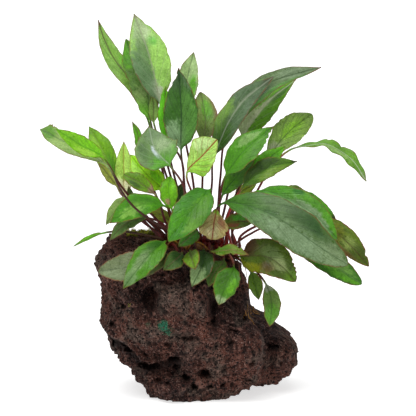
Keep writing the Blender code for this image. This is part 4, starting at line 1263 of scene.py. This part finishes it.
# Each tuft: mm across from and to, mm up from and to, how many blades, how long in mm
MOSS_TUFTS = [
    (-42, -27, 100, 104, 420, 2.3), (-29.5, -25, 101, 104, 60, 5), (-31, -24, 100, 103, 120, 2.6),
    (-41.5, -39.5, 58, 60, 12, 0.7), (-24, -14, 95, 99, 140, 1.4),
]
FAR_IN_FRONT = -120  # mm
MISSED_DEPTH = -10  # mm: from there the nearest stone is taken where the front shows none
DEAD_STALKS = [
    [(-6, 92.5, -20), (-2, 96.8, -27), (3, 95.6, -31), (8.4, 90.6, -33)],
    [(-9, 93, -20), (-14, 97.5, -26), (-18, 95, -29)],
]
DEAD_STALK_RADIUS = 0.8
HANGING_ROOTS = [
    [(16, 88, -13), (27, 85, -27), (29.5, 78, -28.5), (28.5, 71, -28)],
    [(17, 87, -14), (26, 82, -27), (27, 75, -28), (29, 69, -27)],
    [(14, 89, -15), (24, 86, -28), (25.5, 79, -30), (24.5, 73, -31)],
]
HANGING_ROOT_RADIUS = 0.45


def surface_of(stone):
    """The stone's surface, for what clings to it."""
    bm = bmesh.new()
    bm.from_mesh(stone.data)
    surface = BVHTree.FromBMesh(bm)
    bm.free()
    return surface


def on_stone(surface, across, up):
    """Where the stone shows at these millimetres from the front, and which way it faces."""
    found = surface.ray_cast(seen(across, up, FAR_IN_FRONT), VIEW_WAY)
    if found[0] is None:
        found = surface.find_nearest(seen(across, up, MISSED_DEPTH))
    return found[0], found[1]


def any_way(rng):
    return Vector([rng.uniform(-1, 1) for _ in range(3)])


def creep(surface, start, heading, steps, rng):
    """Points of a root that creeps over the stone."""
    points = [start]
    for _ in range(steps):
        heading = (heading.normalized() + any_way(rng) * ROOT_WANDER).normalized()
        place, normal, _, _ = surface.find_nearest(points[-1] + heading * ROOT_STEP * MM)
        points.append(place + normal * ROOT_LIFT * MM)
        heading = points[-1] - points[-2]
        if heading.length < ROOT_LIFT * MM:
            points.pop()
            break
    return points


def tapered(points, radius, corners=5):
    last = len(points) - 1
    radii = [radius * MM * (1 - TAPER * k / last) for k in range(last + 1)]
    return skin_along(points, radii, corners)


def thread(places, radius, corners=5):
    """A tapered thread along a smooth curve through the places."""
    return tapered(smooth_path([seen(*place) for place in places], THREAD_STEPS), radius, corners)


def joined(name, shapes, material):
    """One piece of many small shapes."""
    points = []
    faces = []
    for corners, sides in shapes:
        faces += [tuple(len(points) + k for k in side) for side in sides]
        points += corners
    dressed(piece_from(name, points, faces, material))


def make_roots(surface, material):
    """Thin roots that run from both sides of the rhizome and grip the stone."""
    rng = random.Random(ROOT_SEED)
    shapes = []
    distances = length_of(LINE) * (np.arange(ROOT_COUNT) + 0.5) / ROOT_COUNT
    for i, (point, forward) in enumerate(along(LINE, distances)):
        beside = forward.cross(UP).normalized() * (-1) ** i
        heading = beside - UP * ROOT_DROP + forward * rng.uniform(-ROOT_SPREAD, ROOT_SPREAD)
        start = point + heading.normalized() * RHIZOME_RADIUS * MM * ROOT_START
        points = creep(surface, start, heading, rng.randint(*ROOT_STEPS), rng)
        if len(points) > 2:
            shapes.append(tapered(points, rng.uniform(*ROOT_RADIUS)))
    shapes += [thread(places, HANGING_ROOT_RADIUS) for places in HANGING_ROOTS]
    joined("rootlets", shapes, material)


def make_rust_roots(surface, material):
    """A few orange threads on the stone's right shoulder."""
    rng = random.Random(ROOT_SEED)
    shapes = []
    for across, up in RUST_ROOTS_AT:
        start, normal = on_stone(surface, across, up)
        start += normal * ROOT_LIFT * MM
        for _ in range(RUST_ROOTS_EACH):
            points = creep(surface, start, any_way(rng), RUST_ROOT_STEPS, rng)
            if len(points) > 2:
                shapes.append(tapered(points, RUST_ROOT_RADIUS))
    joined("rust_rootlets", shapes, material)


def make_dead_stalks(material):
    """Dried stalks of old leaves at the foot of the plant."""
    shapes = [thread(places, DEAD_STALK_RADIUS, 8) for places in DEAD_STALKS]
    joined("dried_stalks", shapes, material)


def make_moss(surface, material):
    """Yellow-green moss along the top edge of the stone, in short fine blades."""
    rng = random.Random(MOSS_SEED)
    shapes = []
    for left, right, low, high, count, tall in MOSS_TUFTS:
        for _ in range(count):
            foot, normal = on_stone(surface, rng.uniform(left, right), rng.uniform(low, high))
            lean = (normal + UP * MOSS_UPRIGHT + any_way(rng) * MOSS_SPREAD).normalized()
            reach = rng.uniform(MOSS_SHORTEST, 1) * tall * MM
            middle = foot + lean * reach / 2 + any_way(rng) * MOSS_BEND * reach
            points = [foot - normal * ROOT_LIFT * MM, middle, foot + lean * reach]
            shapes.append(tapered(points, MOSS_RADIUS, 4))
    joined("moss", shapes, material)


# Each thread's darker and lighter colour
ROOT_COLOURS = ((46, 28, 22), (104, 60, 44))
RUST_COLOURS = ((120, 82, 22), (186, 132, 40))
DEAD_COLOURS = ((92, 62, 20), (168, 124, 44))
MOSS_COLOURS = ((104, 108, 26), (192, 194, 66))


def thread_material(name, dark, light):
    """Plain growth: one colour that turns to another from place to place."""
    n = Nodes(name)
    place = n.place()
    light_share = n.between(n.noise(place, 240, 3, 0.6), 0.36, 0.62)
    n.shade(
        Base_Color=n.mix(light_share, rgba(dark), rgba(light)),
        Roughness=0.6,
        Normal=n.bump(n.noise(place, 1400, 2), 0.0002, 0.7),
    )
    return n.material


# Setting

WHITE = (1, 1, 1, 1)
FLOOR_SIZE = 8  # m
FLOOR_AT = (0, 1.5, 0)
FLOOR_GREY = (0.7, 0.7, 0.7, 1)
FLOOR_GLOW = 0.65
ROOM_LIGHT = 0.42
SOFTBOX_SIZE = 0.5  # m
SOFTBOX_WATTS = 3
SOFTBOX_AT = Vector((-0.3, -0.6, 1.0))
SOFTBOX_AIM = Vector((0, 0, 0.12))
SUN_WAY = Vector((0.1, 0.34, -1))
SUN_STRENGTH = 1.7
SUN_ANGLE = math.radians(50)
FRAME_WIDE = 0.2496  # m that the picture shows at the plant
FRAME_MIDDLE = (6.6, 117, -10)  # mm
CAMERA_AWAY = 5.0  # m
CAMERA_REACH = 50  # m
SENSOR_WIDE = 36  # mm


def make_floor():
    bpy.ops.mesh.primitive_plane_add(size=FLOOR_SIZE, location=FLOOR_AT)
    floor = bpy.context.object
    floor.name = "floor"
    n = Nodes("floor")
    n.shade(Base_Color=FLOOR_GREY, Roughness=0.8, Emission_Color=WHITE, Emission_Strength=FLOOR_GLOW)
    floor.data.materials.append(n.material)


def aimed(name, data, place, way):
    """A lamp or camera at a place, looking along the way."""
    thing = placed(name, data)
    thing.location = place
    thing.rotation_mode = "QUATERNION"
    thing.rotation_quaternion = way.to_track_quat("-Z", "Y")
    return thing


def make_lights():
    world = bpy.data.worlds.new("white room")
    bpy.context.scene.world = world
    world.use_nodes = True
    background = world.node_tree.nodes["Background"]
    background.inputs["Color"].default_value = WHITE
    background.inputs["Strength"].default_value = ROOM_LIGHT
    softbox = bpy.data.lights.new("softbox", "AREA")
    softbox.shape = "DISK"
    softbox.size = SOFTBOX_SIZE
    softbox.energy = SOFTBOX_WATTS
    aimed("softbox", softbox, SOFTBOX_AT, SOFTBOX_AIM - SOFTBOX_AT)
    sun = bpy.data.lights.new("daylight", "SUN")
    sun.energy = SUN_STRENGTH
    sun.angle = SUN_ANGLE
    aimed("daylight", sun, (0, 0, 0), SUN_WAY)


def make_camera():
    data = bpy.data.cameras.new("camera")
    data.sensor_width = SENSOR_WIDE
    data.lens = SENSOR_WIDE * CAMERA_AWAY / FRAME_WIDE
    data.clip_end = CAMERA_REACH
    place = seen(*FRAME_MIDDLE) - VIEW_WAY * CAMERA_AWAY
    bpy.context.scene.camera = aimed("camera", data, place, VIEW_WAY)


def main():
    bpy.context.scene.view_settings.view_transform = "Standard"
    make_camera()
    make_lights()
    make_floor()
    leaf = leaf_material()
    for entry in LEAVES:
        make_leaf(entry, leaf)
    surface = surface_of(make_stone(stone_material()))
    make_rhizome(stem_material())
    make_roots(surface, thread_material("root", *ROOT_COLOURS))
    make_rust_roots(surface, thread_material("rust root", *RUST_COLOURS))
    make_dead_stalks(thread_material("dried stalk", *DEAD_COLOURS))
    make_moss(surface, thread_material("moss", *MOSS_COLOURS))


main()
